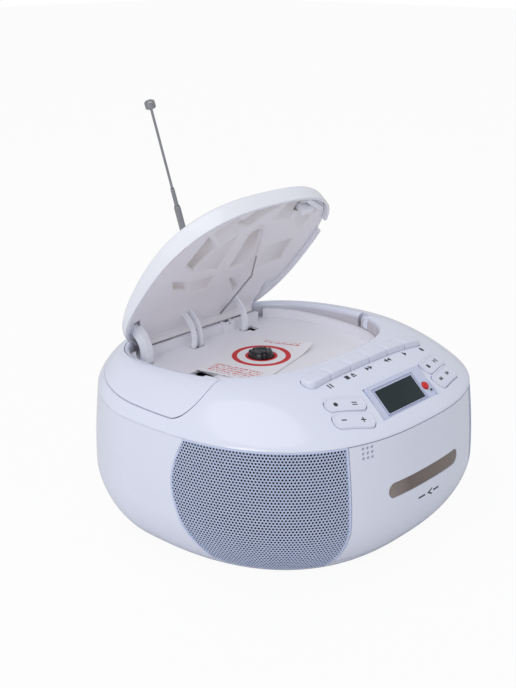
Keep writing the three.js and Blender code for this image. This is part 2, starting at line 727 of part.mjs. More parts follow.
function makeLid() {
  let solid = lidForm(0).subtract(lidForm(lid.wall));
  solid = solid.subtract(block(farLeft, farRight, lid.rearCut, farBack, 0, sky * 2));
  for (const station of armStations) solid = solid.add(lidArm(station));
  for (const { sign } of sides) {
    const left = sign < 0 ? -hinge.barrelOuter : hinge.barrelInner;
    const right = sign < 0 ? -hinge.barrelInner : hinge.barrelOuter;
    const web = block(
      left, right, hinge.y - hinge.lug, hinge.y + hinge.lug, hinge.z, lid.base + lid.wall,
    );
    solid = solid.add(bar('x', hinge.barrel, left, right, hinge.y, hinge.z)).add(web);
  }
  const hookReach = hook.width / 2;
  const catchBlock = block(
    hook.x - hookReach, hook.x + hookReach, hook.y - hook.length, hook.y, lid.base - hook.drop,
    hook.top,
  );
  return solid
    .add(catchBlock)
    .subtract(bar('x', hinge.pin + seat, farLeft, farRight, hinge.y, hinge.z));
}
// The open lid's rear corners are trimmed to clear the rim they swing past
const rimTop = crest.height - crest.rearDrop + lid.rimGap;
const rimGuard = block(farLeft, farRight, lid.guardFrom, farBack, 0, rimTop)
  .subtract(wellPlug(wellReach - run, 0, sky));
add('disc_lid', openLid(makeLid()).subtract(rimGuard), whiteGloss);

// The lid's inner panel with a raised oval rib
function makePanel() {
  const low = lid.base + panel.rise;
  const ovalShape = (shrink) => {
    const reach = clampRib.halfWidth - shrink;
    const shape = roundedBar(reach, clampRib.length / 2 - shrink, reach);
    return prism(shape, low - clampRib.height, low + weld)
      .translate([clampRib.x, clampRib.front + clampRib.length / 2, 0]);
  };
  const hookRoom = hook.width / 2 + run;
  const room = block(
    hook.x - hookRoom, hook.x + hookRoom, hook.y - hook.length - run, hook.y + run, 0, sky,
  );
  return lidForm(lid.wall + seat)
    .intersect(block(farLeft, farRight, farFront, panel.rear, low, low + panel.thickness))
    .add(ovalShape(0).subtract(ovalShape(clampRib.wall)))
    .subtract(room);
}
add('disc_lid_panel', openLid(makePanel()), whiteSatin);

for (const { name, sign } of sides) {
  const pin = sideBar(sign, hinge.pin, hinge.lugInner, hinge.lugOuter, hinge.y, hinge.z, smallSides);
  add(`lid_pin_${name}`, pin, steel);
}

// The bent wire under the lid
const wirePoints = [
  new THREE.Vector3(lidWire.x, lidWire.rear, lidWire.rearZ),
  new THREE.Vector3(lidWire.x, lidWire.bendY, lidWire.bendZ),
  new THREE.Vector3(lidWire.x, lidWire.tipY, lidWire.tipZ),
];
const wireRods = wirePoints.slice(1).map((to, index) => (
  rodBetween(wirePoints[index], to, lidWire.radius)
));
const wireBends = wirePoints.map((point) => ball(point, lidWire.radius));
add('lid_wire', openLid(join([...wireRods, ...wireBends])), steel);

// The printed transport card lying in the tray
const cardShape = new THREE.Shape();
cardShape.moveTo(card.left, -card.reach);
cardShape.lineTo(card.reach, -card.reach);
cardShape.lineTo(card.reach, card.back);
cardShape.lineTo(card.left, card.back);
const cardSheet = prism(cardShape, card.foot, card.foot + card.thickness)
  .subtract(bar('z', card.hole, card.foot - over, card.foot + over, 0, 0))
  .rotate([0, 0, card.turnDegrees]);
add('transport_card', cardSheet, paper);

// Disc mechanism
function makeDiscPlate() {
  const low = discPlate.top - discPlate.thickness;
  const top = deckUnderside - seat;
  let solid = block(
    discPlate.left, discPlate.right, discPlate.front, discPlate.back, low, discPlate.top,
  );
  for (const x of [discPlate.left + discPlate.postInset, discPlate.right - discPlate.postInset]) {
    for (const y of [discPlate.front + discPlate.postInset, discPlate.back - discPlate.postInset]) {
      solid = solid.add(bar('z', discPlate.post, low, top, x, y));
    }
  }
  for (const y of [-rail.y, rail.y]) {
    for (const x of [rail.left, rail.right - rail.stand]) {
      solid = solid.add(block(
        x, x + rail.stand, y - rail.stand, y + rail.stand, low, rail.z + rail.stand,
      ));
    }
    const railBore = bar('x', rail.radius + seat, rail.left - over, rail.right + over, y, rail.z);
    solid = solid.subtract(railBore);
  }
  return solid;
}
add('disc_plate', makeDiscPlate(), blackPlastic);
for (const [name, y] of [['front', -rail.y], ['rear', rail.y]]) {
  add(`pickup_rail_${name}`, bar('x', rail.radius, rail.left, rail.right, y, rail.z, smallSides), steel);
}
const lens = bar('z', sled.lens, sled.foot, sled.lensTop, sled.x, 0);
const sledBody = block(
  sled.x - sled.halfLength, sled.x + sled.halfLength, -sled.halfWidth, sled.halfWidth, sled.foot, sled.top,
);
const sledBores = [-rail.y, rail.y].map((y) => bar('x', sled.bore, rail.left, rail.right, y, rail.z));
add('pickup_sled', sledBody.add(lens).subtract(join(sledBores)), blackPlastic);
const motorSeat = discPlate.top + seat;
add('disc_motor', bar('z', discMotor.radius, motorSeat, discMotor.top, 0, 0)
  .subtract(bar('z', platter.shaft + run, platter.foot - seat, sky, 0, 0)), steel);
function makeTurntable() {
  const foot = platter.top - platter.thickness;
  let solid = bar('z', platter.radius, foot, platter.top, 0, 0, outlineSides / 2)
    .add(bar('z', platter.hub, foot, platter.hubTop, 0, 0, outlineSides / 2))
    .add(bar('z', platter.shaft, platter.foot, platter.top, 0, 0, smallSides));
  for (let i = 0; i < platter.notches; i += 1) {
    const notch = block(
      -platter.notch, platter.notch, platter.hub - platter.notch * 2, platter.hub + over,
      platter.notchFoot, sky,
    );
    solid = solid.subtract(notch.rotate([0, 0, fullTurn * i / platter.notches]));
  }
  return solid;
}
add('turntable', makeTurntable(), blackPlastic);

// Bottom cabinet
function doorSkin(grow) {
  const reach = door.halfWidth + grow;
  return bowlForm(0)
    .subtract(bowlForm(door.thickness + grow))
    .intersect(block(-reach, reach, farFront, 0, door.foot - grow, door.top));
}
function doorEar(sign, grow) {
  const left = sign < 0 ? -door.earOuter : door.earInner;
  const right = sign < 0 ? -door.earInner : door.earOuter;
  const tongue = block(
    left - grow, right + grow, farFront, door.earBack + grow, door.foot, door.earTop + grow,
  );
  return bar('x', door.ear + grow, left - grow, right + grow, door.axisY, door.axisZ)
    .add(tongue.intersect(bowlForm(door.thickness / 2)));
}
function doorEars(grow) {
  return doorEar(-1, grow).add(doorEar(1, grow));
}
function onSeat(sign, radius, low, high) {
  const geometry = new THREE.CylinderGeometry(radius, radius, high - low, roundSides);
  geometry.translate(0, (high + low) / 2, 0).rotateX(Math.PI / 2).applyMatrix4(speakerPlace(sign));
  return toSolid(geometry);
}
function batteryRoom(grow, back) {
  const inset = batteryBox.ledge - grow;
  return block(
    batteryBox.left + inset, batteryBox.right - inset, back, farBack, batteryBox.foot + inset,
    batteryBox.top - inset,
  );
}
function inletRoom(grow, front) {
  const width = inlet.halfWidth + grow;
  const height = inlet.halfHeight + grow;
  return block(inlet.x - width, inlet.x + width, front, farBack, inlet.z - height, inlet.z + height);
}
const boardPosts = [mainBoard.left + mainBoard.inset, mainBoard.right - mainBoard.inset].flatMap((x) => (
  [mainBoard.front + mainBoard.inset, mainBoard.back - mainBoard.inset].map((y) => ({ x, y }))
));

// The two lugs that the door's pins turn in
function doorLugs() {
  return join(sides.map(({ sign }) => block(
    sign < 0 ? -door.lugOuter : door.lugInner, sign < 0 ? -door.lugInner : door.lugOuter,
    door.lugFront, door.lugBack, 0, door.lugTop,
  )));
}

function makeBottomCabinet() {
  let cavity = bowlForm(body.wall).subtract(doorLugs());
  for (const { sign } of sides) {
    const ring = onSeat(sign, speaker.opening + speaker.seatWall, seat, speaker.seatReach);
    cavity = cavity.subtract(ring);
  }
  for (const { x, y } of boardPosts) {
    cavity = cavity.subtract(bar('z', mainBoard.post, 0, mainBoard.foot - seat, x, y, smallSides));
  }
  const inletMargin = inlet.margin + inlet.wall;
  cavity = cavity
    .subtract(batteryRoom(batteryBox.wall, batteryBox.back - batteryBox.wall))
    .subtract(inletRoom(inletMargin, inlet.face - inlet.wall));
  let solid = bowlForm(0).subtract(cavity);
  const recessDepth = grille.thickness + seat;
  const recess = bowlForm(-over).subtract(bowlForm(recessDepth));
  for (const { sign } of sides) {
    solid = solid
      .subtract(onSeat(sign, speaker.opening, 0, speaker.seatReach * 2))
      .subtract(recess.intersect(grilleRegion(sign, seat)));
  }
  const openingReach = door.halfWidth + door.gap;
  const opening = block(
    -openingReach, openingReach, farFront, door.openingBack, door.foot - run, sky,
  );
  const boreEnd = door.lugOuter + over;
  solid = solid
    .subtract(opening.subtract(doorLugs()))
    .subtract(bar('x', door.pin + run, -boreEnd, boreEnd, door.axisY, door.axisZ))
    .subtract(batteryRoom(0, batteryBox.back))
    .subtract(batteryRoom(batteryBox.ledge, 0).subtract(bowlForm(batteryBox.skin + seat)))
    .subtract(inletRoom(inlet.margin, inlet.face))
    .subtract(inletRoom(seat, inlet.front))
    .subtract(aerialHole);
  const swept = doorSkin(run).add(doorEars(run));
  for (const share of doorSwingShares) {
    solid = solid.subtract(swing(swept, door.openDegrees * share, door.axisY, door.axisZ));
  }
  return solid;
}
add('bottom_cabinet', makeBottomCabinet(), whiteGloss);

// Grilles and speakers
for (const { name, sign } of sides) {
  const skin = bowlForm(0).subtract(bowlForm(grille.thickness));
  add(`speaker_grille_${name}`, skin.intersect(grilleRegion(sign, 0)), grilleSilver);
}
const frameBack = -speaker.basketDepth - speaker.magnetDepth;
const frameProfile = [
  [0, frameBack], [speaker.magnet, frameBack], [speaker.magnet, -speaker.basketDepth],
  [speaker.flange - speaker.flangeThickness, -speaker.flangeThickness],
  [speaker.flange, -speaker.flangeThickness], [speaker.flange, 0], [speaker.opening, 0],
  [speaker.throat, -speaker.basketDepth + speaker.flangeThickness],
  [0, -speaker.basketDepth + speaker.flangeThickness],
];
const coneRim = speaker.opening - speaker.coneGap;
const coneFloor = -speaker.coneDepth;
const coneProfile = [
  [0, coneFloor - speaker.coneWall], [speaker.dome, coneFloor - speaker.coneWall],
  [coneRim, -speaker.coneWall - seat], [coneRim, -seat], [speaker.dome, coneFloor],
  [speaker.dome / 2, coneFloor + speaker.domeRise / 2], [0, coneFloor + speaker.domeRise],
];
for (const { name, sign } of sides) {
  add(`speaker_frame_${name}`, onSpeaker(sign, frameProfile), motorMetal);
  add(`speaker_cone_${name}`, onSpeaker(sign, coneProfile), coneBlack);
}

// Cassette door with its ears, pins, holder and window
function makeDoor() {
  const dots = [];
  for (let row = 0; row < gripDots.count; row += 1) {
    for (let column = 0; column < gripDots.count; column += 1) {
      const middle = (gripDots.count - 1) / 2;
      const x = gripDots.x + (column - middle) * gripDots.pitch;
      const z = gripDots.z + (row - middle) * gripDots.pitch;
      dots.push(bar('y', gripDots.radius, farFront, door.axisY, x, z, smallSides / 2));
    }
  }
  const dimples = join(dots).subtract(bowlForm(gripDots.depth));
  const inside = bowlForm(door.thickness / 2);
  let solid = doorSkin(0).subtract(windowPlug(seat)).subtract(dimples).add(doorEars(0));
  for (const { sign } of sides) {
    const outer = holder.halfWidth;
    const inner = outer - holder.rail;
    const side = block(
      sign < 0 ? -outer : inner, sign < 0 ? -inner : outer, farFront, holder.back, holder.foot,
      holder.top,
    );
    const near = door.earOuter - door.pin;
    solid = solid
      .add(side.intersect(inside))
      .add(sideBar(sign, door.pin, near, door.pinEnd, door.axisY, door.axisZ, smallSides));
  }
  const shelfTop = holder.foot + holder.shelf;
  const shelf = block(
    -holder.halfWidth, holder.halfWidth, farFront, holder.back, holder.foot, shelfTop,
  );
  return solid.add(shelf.intersect(inside));
}
add('cassette_door', makeDoor(), whiteGloss);
const windowSkin = bowlForm(windowSlot.inset).subtract(bowlForm(windowSlot.inset + windowSlot.thickness));
add('cassette_window', windowSkin.intersect(windowPlug(0)), tintedWindow);

// Cassette mechanism
function makeTapePlate() {
  let solid = block(
    -tape.halfWidth, tape.halfWidth, tape.plateFront, tape.plateBack, tape.foot, tape.top,
  );
  const legTop = tape.foot + tape.leg * 2;
  const postEnd = tapeMotor.bodyFront - seat;
  for (const sign of [-1, 1]) {
    const x = tape.legX * sign;
    const postZ = tapeMotor.z + tapeMotor.postReach * sign;
    solid = solid
      .add(bar('z', tape.leg, tape.legFoot, legTop, x, tape.legY, smallSides))
      .add(block(x - tape.leg, x + tape.leg, tape.plateFront, tape.legY, tape.foot, legTop))
      .add(bar('y', tapeMotor.post, tape.plateFront, postEnd, tapeMotor.postX, postZ, smallSides))
      .subtract(bar('y', reel.shaft + run, farFront, 0, tape.hubX * sign, tape.hubZ, smallSides));
  }
  return solid.subtract(bar('y', capstan.shaft + run, farFront, 0, capstan.x, capstan.z, smallSides));
}
add('tape_plate', makeTapePlate(), steel);
for (const { name, sign } of sides) {
  const x = tape.hubX * sign;
  let hub = bar('y', reel.disc, reel.discFront, tape.plateFront - seat, x, tape.hubZ)
    .add(bar('y', reel.spindle, reel.spindleFront, reel.discFront, x, tape.hubZ, smallSides))
    .add(bar('y', reel.shaft, reel.discFront, reel.shaftBack, x, tape.hubZ, smallSides));
  for (let i = 0; i < reel.fins; i += 1) {
    const fin = block(
      -reel.fin / 2, reel.fin / 2, reel.spindleFront, reel.discFront, 0, reel.finReach,
    ).rotate([0, fullTurn * i / reel.fins, 0]);
    hub = hub.add(fin.translate([x, 0, tape.hubZ]));
  }
  add(`reel_hub_${name}`, hub, blackPlastic);
}
function onCapstan(radius, front, back, facets) {
  return bar('y', radius, front, back, capstan.x, capstan.z, facets);
}
const flywheel = onCapstan(capstan.shaft, capstan.front, capstan.wheelBack, smallSides)
  .add(onCapstan(capstan.wheel, capstan.wheelFront, capstan.wheelBack));
add('capstan_flywheel', flywheel, steel);
const headBack = tape.plateFront - seat;
const headBlock = block(-head.halfWidth, head.halfWidth, head.front, headBack, head.foot, head.top);
add('tape_head', headBlock, steel);
function onTapeMotor(radius, front, back, facets) {
  return bar('y', radius, front, back, tapeMotor.x, tapeMotor.z, facets);
}
const motorBore = onTapeMotor(tapeMotor.shaft + run, farFront, tapeMotor.shaftBack + run, smallSides);
const motorBody = onTapeMotor(tapeMotor.body, tapeMotor.bodyFront, tapeMotor.bodyBack);
add('tape_motor', motorBody.subtract(motorBore), motorMetal);
const pulley = onTapeMotor(tapeMotor.pulley, capstan.wheelFront, capstan.wheelBack)
  .add(onTapeMotor(tapeMotor.shaft, capstan.wheelFront, tapeMotor.shaftBack, smallSides));
add('motor_pulley', pulley, steel);
function beltLoop(grow) {
  const small = tapeMotor.pulley + grow;
  const large = capstan.wheel + grow;
  const across = capstan.x - tapeMotor.x;
  const rise = capstan.z - tapeMotor.z;
  const along = Math.atan2(rise, across);
  const lean = Math.acos((small - large) / Math.hypot(across, rise));
  const shape = new THREE.Shape();
  shape.absarc(tapeMotor.x, tapeMotor.z, small, along + lean, along - lean + Math.PI * 2);
  shape.absarc(capstan.x, capstan.z, large, along - lean, along + lean);
  return frontwards(shape, belt.front, belt.back);
}
add('drive_belt', beltLoop(seat + belt.wall).subtract(beltLoop(seat)), rubber);

// Supply, main board, battery door, inlet and feet
add('main_board', block(
  mainBoard.left, mainBoard.right, mainBoard.front, mainBoard.back, mainBoard.foot,
  mainBoard.foot + mainBoard.thickness,
), board);
const core = block(
  transformer.left, transformer.right, transformer.front, transformer.back, transformer.coreLow,
  transformer.coreHigh,
);
const coil = block(
  transformer.left + transformer.coil, transformer.right - transformer.coil,
  transformer.front + transformer.coil, transformer.back - transformer.coil, transformer.foot,
  transformer.height,
);
add('power_transformer', core.add(coil), motorMetal);
const batteryLid = batteryRoom(batteryBox.ledge - seat, 0)
  .intersect(bowlForm(0).subtract(bowlForm(batteryBox.skin)));
add('battery_door', batteryLid, whiteSatin);
function inletBlock(grow, front, back) {
  const width = inlet.halfWidth + grow;
  const height = inlet.halfHeight + grow;
  return block(inlet.x - width, inlet.x + width, front, back, inlet.z - height, inlet.z + height);
}
const inletFace = inlet.face + seat;
const inletPins = [-inlet.pinX, inlet.pinX].map((x) => {
  const root = inletFace - inlet.socketDepth - inlet.pin;
  return bar('y', inlet.pin, root, inletFace - inlet.pin, inlet.x + x, inlet.z, smallSides);
});
const inletBody = inletBlock(0, inlet.front + seat, inletFace + inlet.flange)
  .add(inletBlock(inlet.margin - seat, inletFace, inletFace + inlet.flange))
  .subtract(inletBlock(-inlet.wall, inletFace - inlet.socketDepth, farBack));
add('mains_inlet', inletBody.add(join(inletPins)), blackPlastic);
const feet = [
  { name: 'front_left', x: -footPad.x, y: footPad.frontY },
  { name: 'front_right', x: footPad.x, y: footPad.frontY },
  { name: 'rear_left', x: -footPad.rearX, y: footPad.rearY },
  { name: 'rear_right', x: footPad.rearX, y: footPad.rearY },
];
for (const { name, x, y } of feet) {
  add(`foot_${name}`, bar('z', footPad.radius, 0, footPad.height, x, y), rubber);
}

// Telescopic aerial: drawn upright on the line x = 0, z = 0 of its mount, then leaned
function lean(solid) {
  return solid.rotate([0, aerial.leanDegrees, 0]).translate([aerial.x, 0, aerial.z]);
}
function onAerialMount(radius, front, back) {
  return bar('y', radius, front, back, aerial.x, aerial.z);
}
const mount = onAerialMount(aerialMount.radius, aerialMount.root, aerialMount.end)
  .add(onAerialMount(aerialMount.flange, aerialMount.flangeFront, aerialMount.flangeBack));
add('aerial_mount', mount, blackPlastic);
function makeSwivel() {
  const base = bar('y', swivel.radius, swivel.back, swivel.front, 0, 0);
  const cheeks = [-1, 1].map((sign) => block(
    sign < 0 ? -swivel.cheekOuter : swivel.cheekInner,
    sign < 0 ? -swivel.cheekInner : swivel.cheekOuter,
    swivel.back, swivel.cheekBack, -swivel.cheekTop, swivel.cheekTop,
  ));
  const pinHole = bar('x', blade.pin + run, -farRight, farRight, aerial.y, 0, smallSides);
  return base.add(join(cheeks)).subtract(pinHole);
}
add('aerial_swivel', lean(makeSwivel()), steel);
function tube(profile, facets = smallSides) {
  return toSolid(turned(profile, facets).translate(0, aerial.y, 0));
}
const tubes = aerialTubes;
const outerTube = tube([
  [0, tubes.outerFoot], [tubes.outer, tubes.outerFoot], [tubes.outer, tubes.outerTop - tubes.crimp],
  [tubes.outerBore + tubes.lip, tubes.outerTop], [tubes.outerBore, tubes.outerTop],
  [tubes.outerBore, tubes.boreFoot], [0, tubes.boreFoot],
])
  .add(bar('x', blade.round, -blade.half, blade.half, aerial.y, 0))
  .add(block(-blade.half, blade.half, aerial.y - blade.neck, aerial.y + blade.neck, 0, tubes.outerFoot))
  .add(bar('x', blade.pin, -swivel.cheekOuter, swivel.cheekOuter, aerial.y, 0, smallSides));
add('aerial_tube_outer', lean(outerTube), steel);
add('aerial_tube_middle', lean(tube([
  [0, tubes.middleFoot], [tubes.middle, tubes.middleFoot], [tubes.middle, tubes.middleTop - tubes.lip],
  [tubes.middleBore + tubes.lip / 2, tubes.middleTop], [tubes.middleBore, tubes.middleTop],
  [tubes.middleBore, tubes.middleFoot + tubes.lip], [0, tubes.middleFoot + tubes.lip],
])), steel);
const tipTop = tubes.rodTop + tubes.tipHeight;
add('aerial_rod', lean(tube([
  [0, tubes.rodFoot], [tubes.rod, tubes.rodFoot], [tubes.rod, tubes.rodTop],
  [tubes.tip * tipShares.foot, tubes.rodTop], [tubes.tip, tubes.rodTop + tubes.lip],
  [tubes.tip, tipTop - tubes.lip], [tubes.tip * tipShares.top, tipTop], [0, tipTop],
])), steel);

// The origin: on the ground, in the middle of the bounding box
radio.updateMatrixWorld(true);
const bounds = new THREE.Box3().setFromObject(radio);
const centre = bounds.getCenter(new THREE.Vector3());
for (const piece of radio.children) piece.geometry.translate(-centre.x, -centre.y, -bounds.min.z);

export default radio;
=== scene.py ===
# A portable cd radio with its disc lid open and its aerial up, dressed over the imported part.
# Sizes are millimetres from the disc spindle and the ground, x to the right, y to the rear;
# each finished piece is scaled to metres and moved to the spindle's place in the part.
import math
from bisect import bisect_right

import bmesh
import bpy
from mathutils import Matrix, Vector
from mathutils.bvhtree import BVHTree


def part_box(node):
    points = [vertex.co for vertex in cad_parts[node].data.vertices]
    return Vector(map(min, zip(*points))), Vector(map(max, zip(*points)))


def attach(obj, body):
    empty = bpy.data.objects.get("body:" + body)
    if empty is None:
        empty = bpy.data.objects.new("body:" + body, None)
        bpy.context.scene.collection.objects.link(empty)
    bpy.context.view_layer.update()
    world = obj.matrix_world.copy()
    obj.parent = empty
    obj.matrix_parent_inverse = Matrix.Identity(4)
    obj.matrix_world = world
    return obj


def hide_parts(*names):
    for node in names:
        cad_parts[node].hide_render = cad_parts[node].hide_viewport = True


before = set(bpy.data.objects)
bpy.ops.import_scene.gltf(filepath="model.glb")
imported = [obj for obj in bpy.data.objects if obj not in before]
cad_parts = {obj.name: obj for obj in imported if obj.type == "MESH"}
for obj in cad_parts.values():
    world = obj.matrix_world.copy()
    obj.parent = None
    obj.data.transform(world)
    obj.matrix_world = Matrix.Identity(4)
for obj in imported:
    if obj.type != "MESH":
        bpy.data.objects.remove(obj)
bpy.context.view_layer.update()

# Lower cabinet: one deep bowl moulded in glossy white plastic, rounded under and bulged
# slightly at half height. It is spun as a profile, pressed to the rounded-square plan of the
# real one, and its openings for door, grilles, batteries, inlet and aerial are cut through.
disc_low, disc_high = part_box("turntable")
SPINDLE = Matrix.Translation((0, (disc_low.y + disc_high.y) / 2, 0)) @ Matrix.Scale(0.001, 4)
SPIN_STEPS = 176
SEAM = 97.5
UNDERSIDE = 3
FAR = 260
BODY_REACH, FRONT_REACH, BACK_REACH = 128, 143, 113
AERIAL_X, AERIAL_Y, AERIAL_Z = 59.8, 117, 92
GLOSS_WHITE = (0.79, 0.825, 0.955, 1)


def squared(angle, front_square, back_square):
    across, along = math.cos(angle), math.sin(angle)
    power = 2 / (front_square if along < 0 else back_square)
    return (
        math.copysign(abs(across) ** power, across),
        math.copysign(abs(along) ** power, along),
    )


def cabinet_plan(reach, angle):
    across, along = squared(angle, 2.55, 1.75)
    if along > 0:
        return reach * across, reach * along * BACK_REACH / BODY_REACH
    fore = FRONT_REACH + reach - BODY_REACH if reach > 100 else reach * (FRONT_REACH - 28) / 100
    return reach * across, fore * along


def bowl_reach(height):
    below = max(0, 43.5 - height) / (43.5 - UNDERSIDE)
    inset = 25 * (1 - (1 - min(1, below) ** 1.58) ** (1 / 1.58))
    share = max(0, (SEAM - height) / (SEAM - UNDERSIDE))
    return BODY_REACH - inset + 3.6 * math.sin(math.pi * 0.9 * share)


def spun(profile, plan, steps=SPIN_STEPS):
    """A profile of (reach, height) turned once round the spindle and pressed to a plan."""
    bm = bmesh.new()
    corners = [bm.verts.new((reach, 0, height)) for reach, height in profile]
    edges = [bm.edges.new(pair) for pair in zip(corners, corners[1:])]
    if profile[0][0] > 0:
        edges.append(bm.edges.new((corners[-1], corners[0])))
    bmesh.ops.spin(
        bm, geom=corners + edges, cent=(0, 0, 0), axis=(0, 0, 1), angle=math.tau,
        steps=steps, use_merge=True,
    )
    bmesh.ops.remove_doubles(bm, verts=bm.verts, dist=0.001)
    for corner in bm.verts:
        x, y, z = corner.co
        reach = math.hypot(x, y)
        corner.co = plan(reach, math.atan2(y, x) if reach > 0.001 else 0, z)
    bmesh.ops.recalc_face_normals(bm, faces=bm.faces)
    return bm


def solid(bm):
    """A working solid in the scene, ready to be cut or joined; an object stays as it is."""
    if isinstance(bm, bpy.types.Object):
        return bm
    mesh = bpy.data.meshes.new("working")
    bm.to_mesh(mesh)
    bm.free()
    thing = bpy.data.objects.new("working", mesh)
    bpy.context.scene.collection.objects.link(thing)
    return thing


def carve(thing, *tools, mode="DIFFERENCE"):
    """Cuts the tools out of a thing and uses them up."""
    thing, *tools = map(solid, (thing, *tools))
    for tool in tools:
        cut = thing.modifiers.new("cut", "BOOLEAN")
        cut.operation = mode
        cut.solver = "MANIFOLD"
        cut.object = tool
    bpy.context.view_layer.update()
    shown = thing.evaluated_get(bpy.context.evaluated_depsgraph_get())
    done = bpy.data.meshes.new_from_object(shown)
    thing.modifiers.clear()
    thing.data = done
    for tool in tools:
        bpy.data.objects.remove(tool)
    return thing


def join(thing, *tools):
    return carve(thing, *tools, mode="UNION")


def keep(thing, tool):
    """What a thing and a tool share."""
    return carve(thing, tool, mode="INTERSECT")


def skin(form, outer, inner):
    """The layer of a form between two depths."""
    return carve(form(outer), form(inner))


def span(side, near, far):
    """Two places along x on one side, the lower first."""
    return sorted((near * side, far * side))


def rounded(bm, edges, radius, segments=4):
    bmesh.ops.bevel(
        bm, geom=edges, offset=radius, segments=segments, affect="EDGES", profile=0.5,
        material=-1,
    )


def whole(bm):
    return bm.verts[:] + bm.edges[:] + bm.faces[:]


def corners_of(made):
    """The corners among what a bmesh operator returns."""
    return [v for v in made["geom"] if isinstance(v, bmesh.types.BMVert)]


def slab(left, right, front, back, low, high, round_off=0):
    """A block; round_off rounds all its edges."""
    bm = bmesh.new()
    bmesh.ops.create_cube(bm, size=1)
    bmesh.ops.scale(bm, vec=(right - left, back - front, high - low), verts=bm.verts)
    middle = ((left + right) / 2, (front + back) / 2, (low + high) / 2)
    bmesh.ops.translate(bm, vec=middle, verts=bm.verts)
    if round_off:
        rounded(bm, bm.edges[:], round_off)
    return bm


def rod(axis, radius, start, end, a, b, steps=48):
    """A round bar along x, y or z; a and b are its place on the other two axes."""
    bm = bmesh.new()
    bmesh.ops.create_cone(
        bm, cap_ends=True, segments=steps, radius1=radius, radius2=radius, depth=end - start
    )
    bmesh.ops.translate(bm, vec=(0, 0, (start + end) / 2), verts=bm.verts)
    if axis == "x":
        turn, place = Matrix.Rotation(math.pi / 2, 4, "Y"), (0, a, b)
    elif axis == "y":
        turn, place = Matrix.Rotation(-math.pi / 2, 4, "X"), (a, 0, b)
    else:
        turn, place = Matrix.Identity(4), (a, b, 0)
    bmesh.ops.transform(bm, matrix=turn, verts=bm.verts)
    bmesh.ops.translate(bm, vec=place, verts=bm.verts)
    return bm


def plate(outline, axis, low, high):
    """A flat outline drawn out along x, y or z; the outline is on the other two axes."""
    bm = bmesh.new()
    order = {"x": (2, 0, 1), "y": (0, 2, 1), "z": (0, 1, 2)}[axis]
    corners = []
    for a, b in outline:
        flat = (a, b, low)
        corners.append(bm.verts.new([flat[i] for i in order]))
    face = bm.faces.new(corners)
    grown = bmesh.ops.extrude_face_region(bm, geom=[face])
    step = [0, 0, 0]
    step[order.index(2)] = high - low
    bmesh.ops.translate(bm, vec=step, verts=corners_of(grown))
    bmesh.ops.recalc_face_normals(bm, faces=bm.faces)
    return bm


def bowl_form(depth):
    profile = []
    for i in range(41):
        share = 1 - math.cos(math.pi / 2 * i / 40)
        height = UNDERSIDE + (SEAM - UNDERSIDE) * share
        profile.append([bowl_reach(height) - depth, height + depth * (1 - share)])
    top = SEAM + 4 if depth else SEAM - 0.12
    profile[-1][1] = top
    place = lambda reach, angle, height: (*cabinet_plan(reach, angle), height)
    return spun([(0, profile[0][1]), *profile, (0, top)], place)


def grille_edge(grow):
    """The printed side view of a grille, as points on y and z."""
    def bend(points, count=10):
        line = []
        for i in range(1, count + 1):
            t = i / count
            row = [Vector(point) for point in points]
            while len(row) > 1:
                row = [a.lerp(b, t) for a, b in zip(row, row[1:])]
            line.append(tuple(row[0]))
        return line

    top = SEAM + 4 if grow >= 0 else SEAM + grow - 0.12
    outline = [(-FAR, top), (-49 + grow, top), (-49 + grow, SEAM - 1.2)]
    outline += bend([outline[-1], (-41.4 + grow, 80), (-41.4 + grow, 67.2)])
    outline += bend(
        [outline[-1], (-41.4 + grow, 52), (-56.5 + grow, 25.5 - grow), (-61.1 + grow, 14.4 - grow)]
    )
    outline += bend([outline[-1], (-63.4, 9 - grow), (-92, 9 - grow)])
    return outline + [(-FAR, 9 - grow)]


def grille_region(side, grow):
    near = 66 - grow
    left, right = (-FAR, -near) if side < 0 else (near, FAR)
    return plate(grille_edge(grow), "x", left, right)


def fill(tree, socket, value):
    if isinstance(value, bpy.types.NodeSocket):
        tree.links.new(value, socket)
    else:
        socket.default_value = value


def node(tree, kind, **given):
    """A new node, its inputs set to values or linked to the outputs of other nodes."""
    made = tree.nodes.new("ShaderNode" + kind)
    for name, value in given.items():
        fill(tree, made.inputs[name.replace("_", " ")], value)
    return made


def reckon(tree, operation, *values):
    """A Math node's result."""
    made = node(tree, "Math")
    made.operation = operation
    for socket, value in zip(made.inputs, values):
        fill(tree, socket, value)
    return made.outputs[0]


def on_object(tree):
    return node(tree, "TexCoord").outputs["Object"]


def noise(tree, where, scale, detail=2):
    return node(tree, "TexNoise", Vector=where, Scale=scale, Detail=detail).outputs["Fac"]


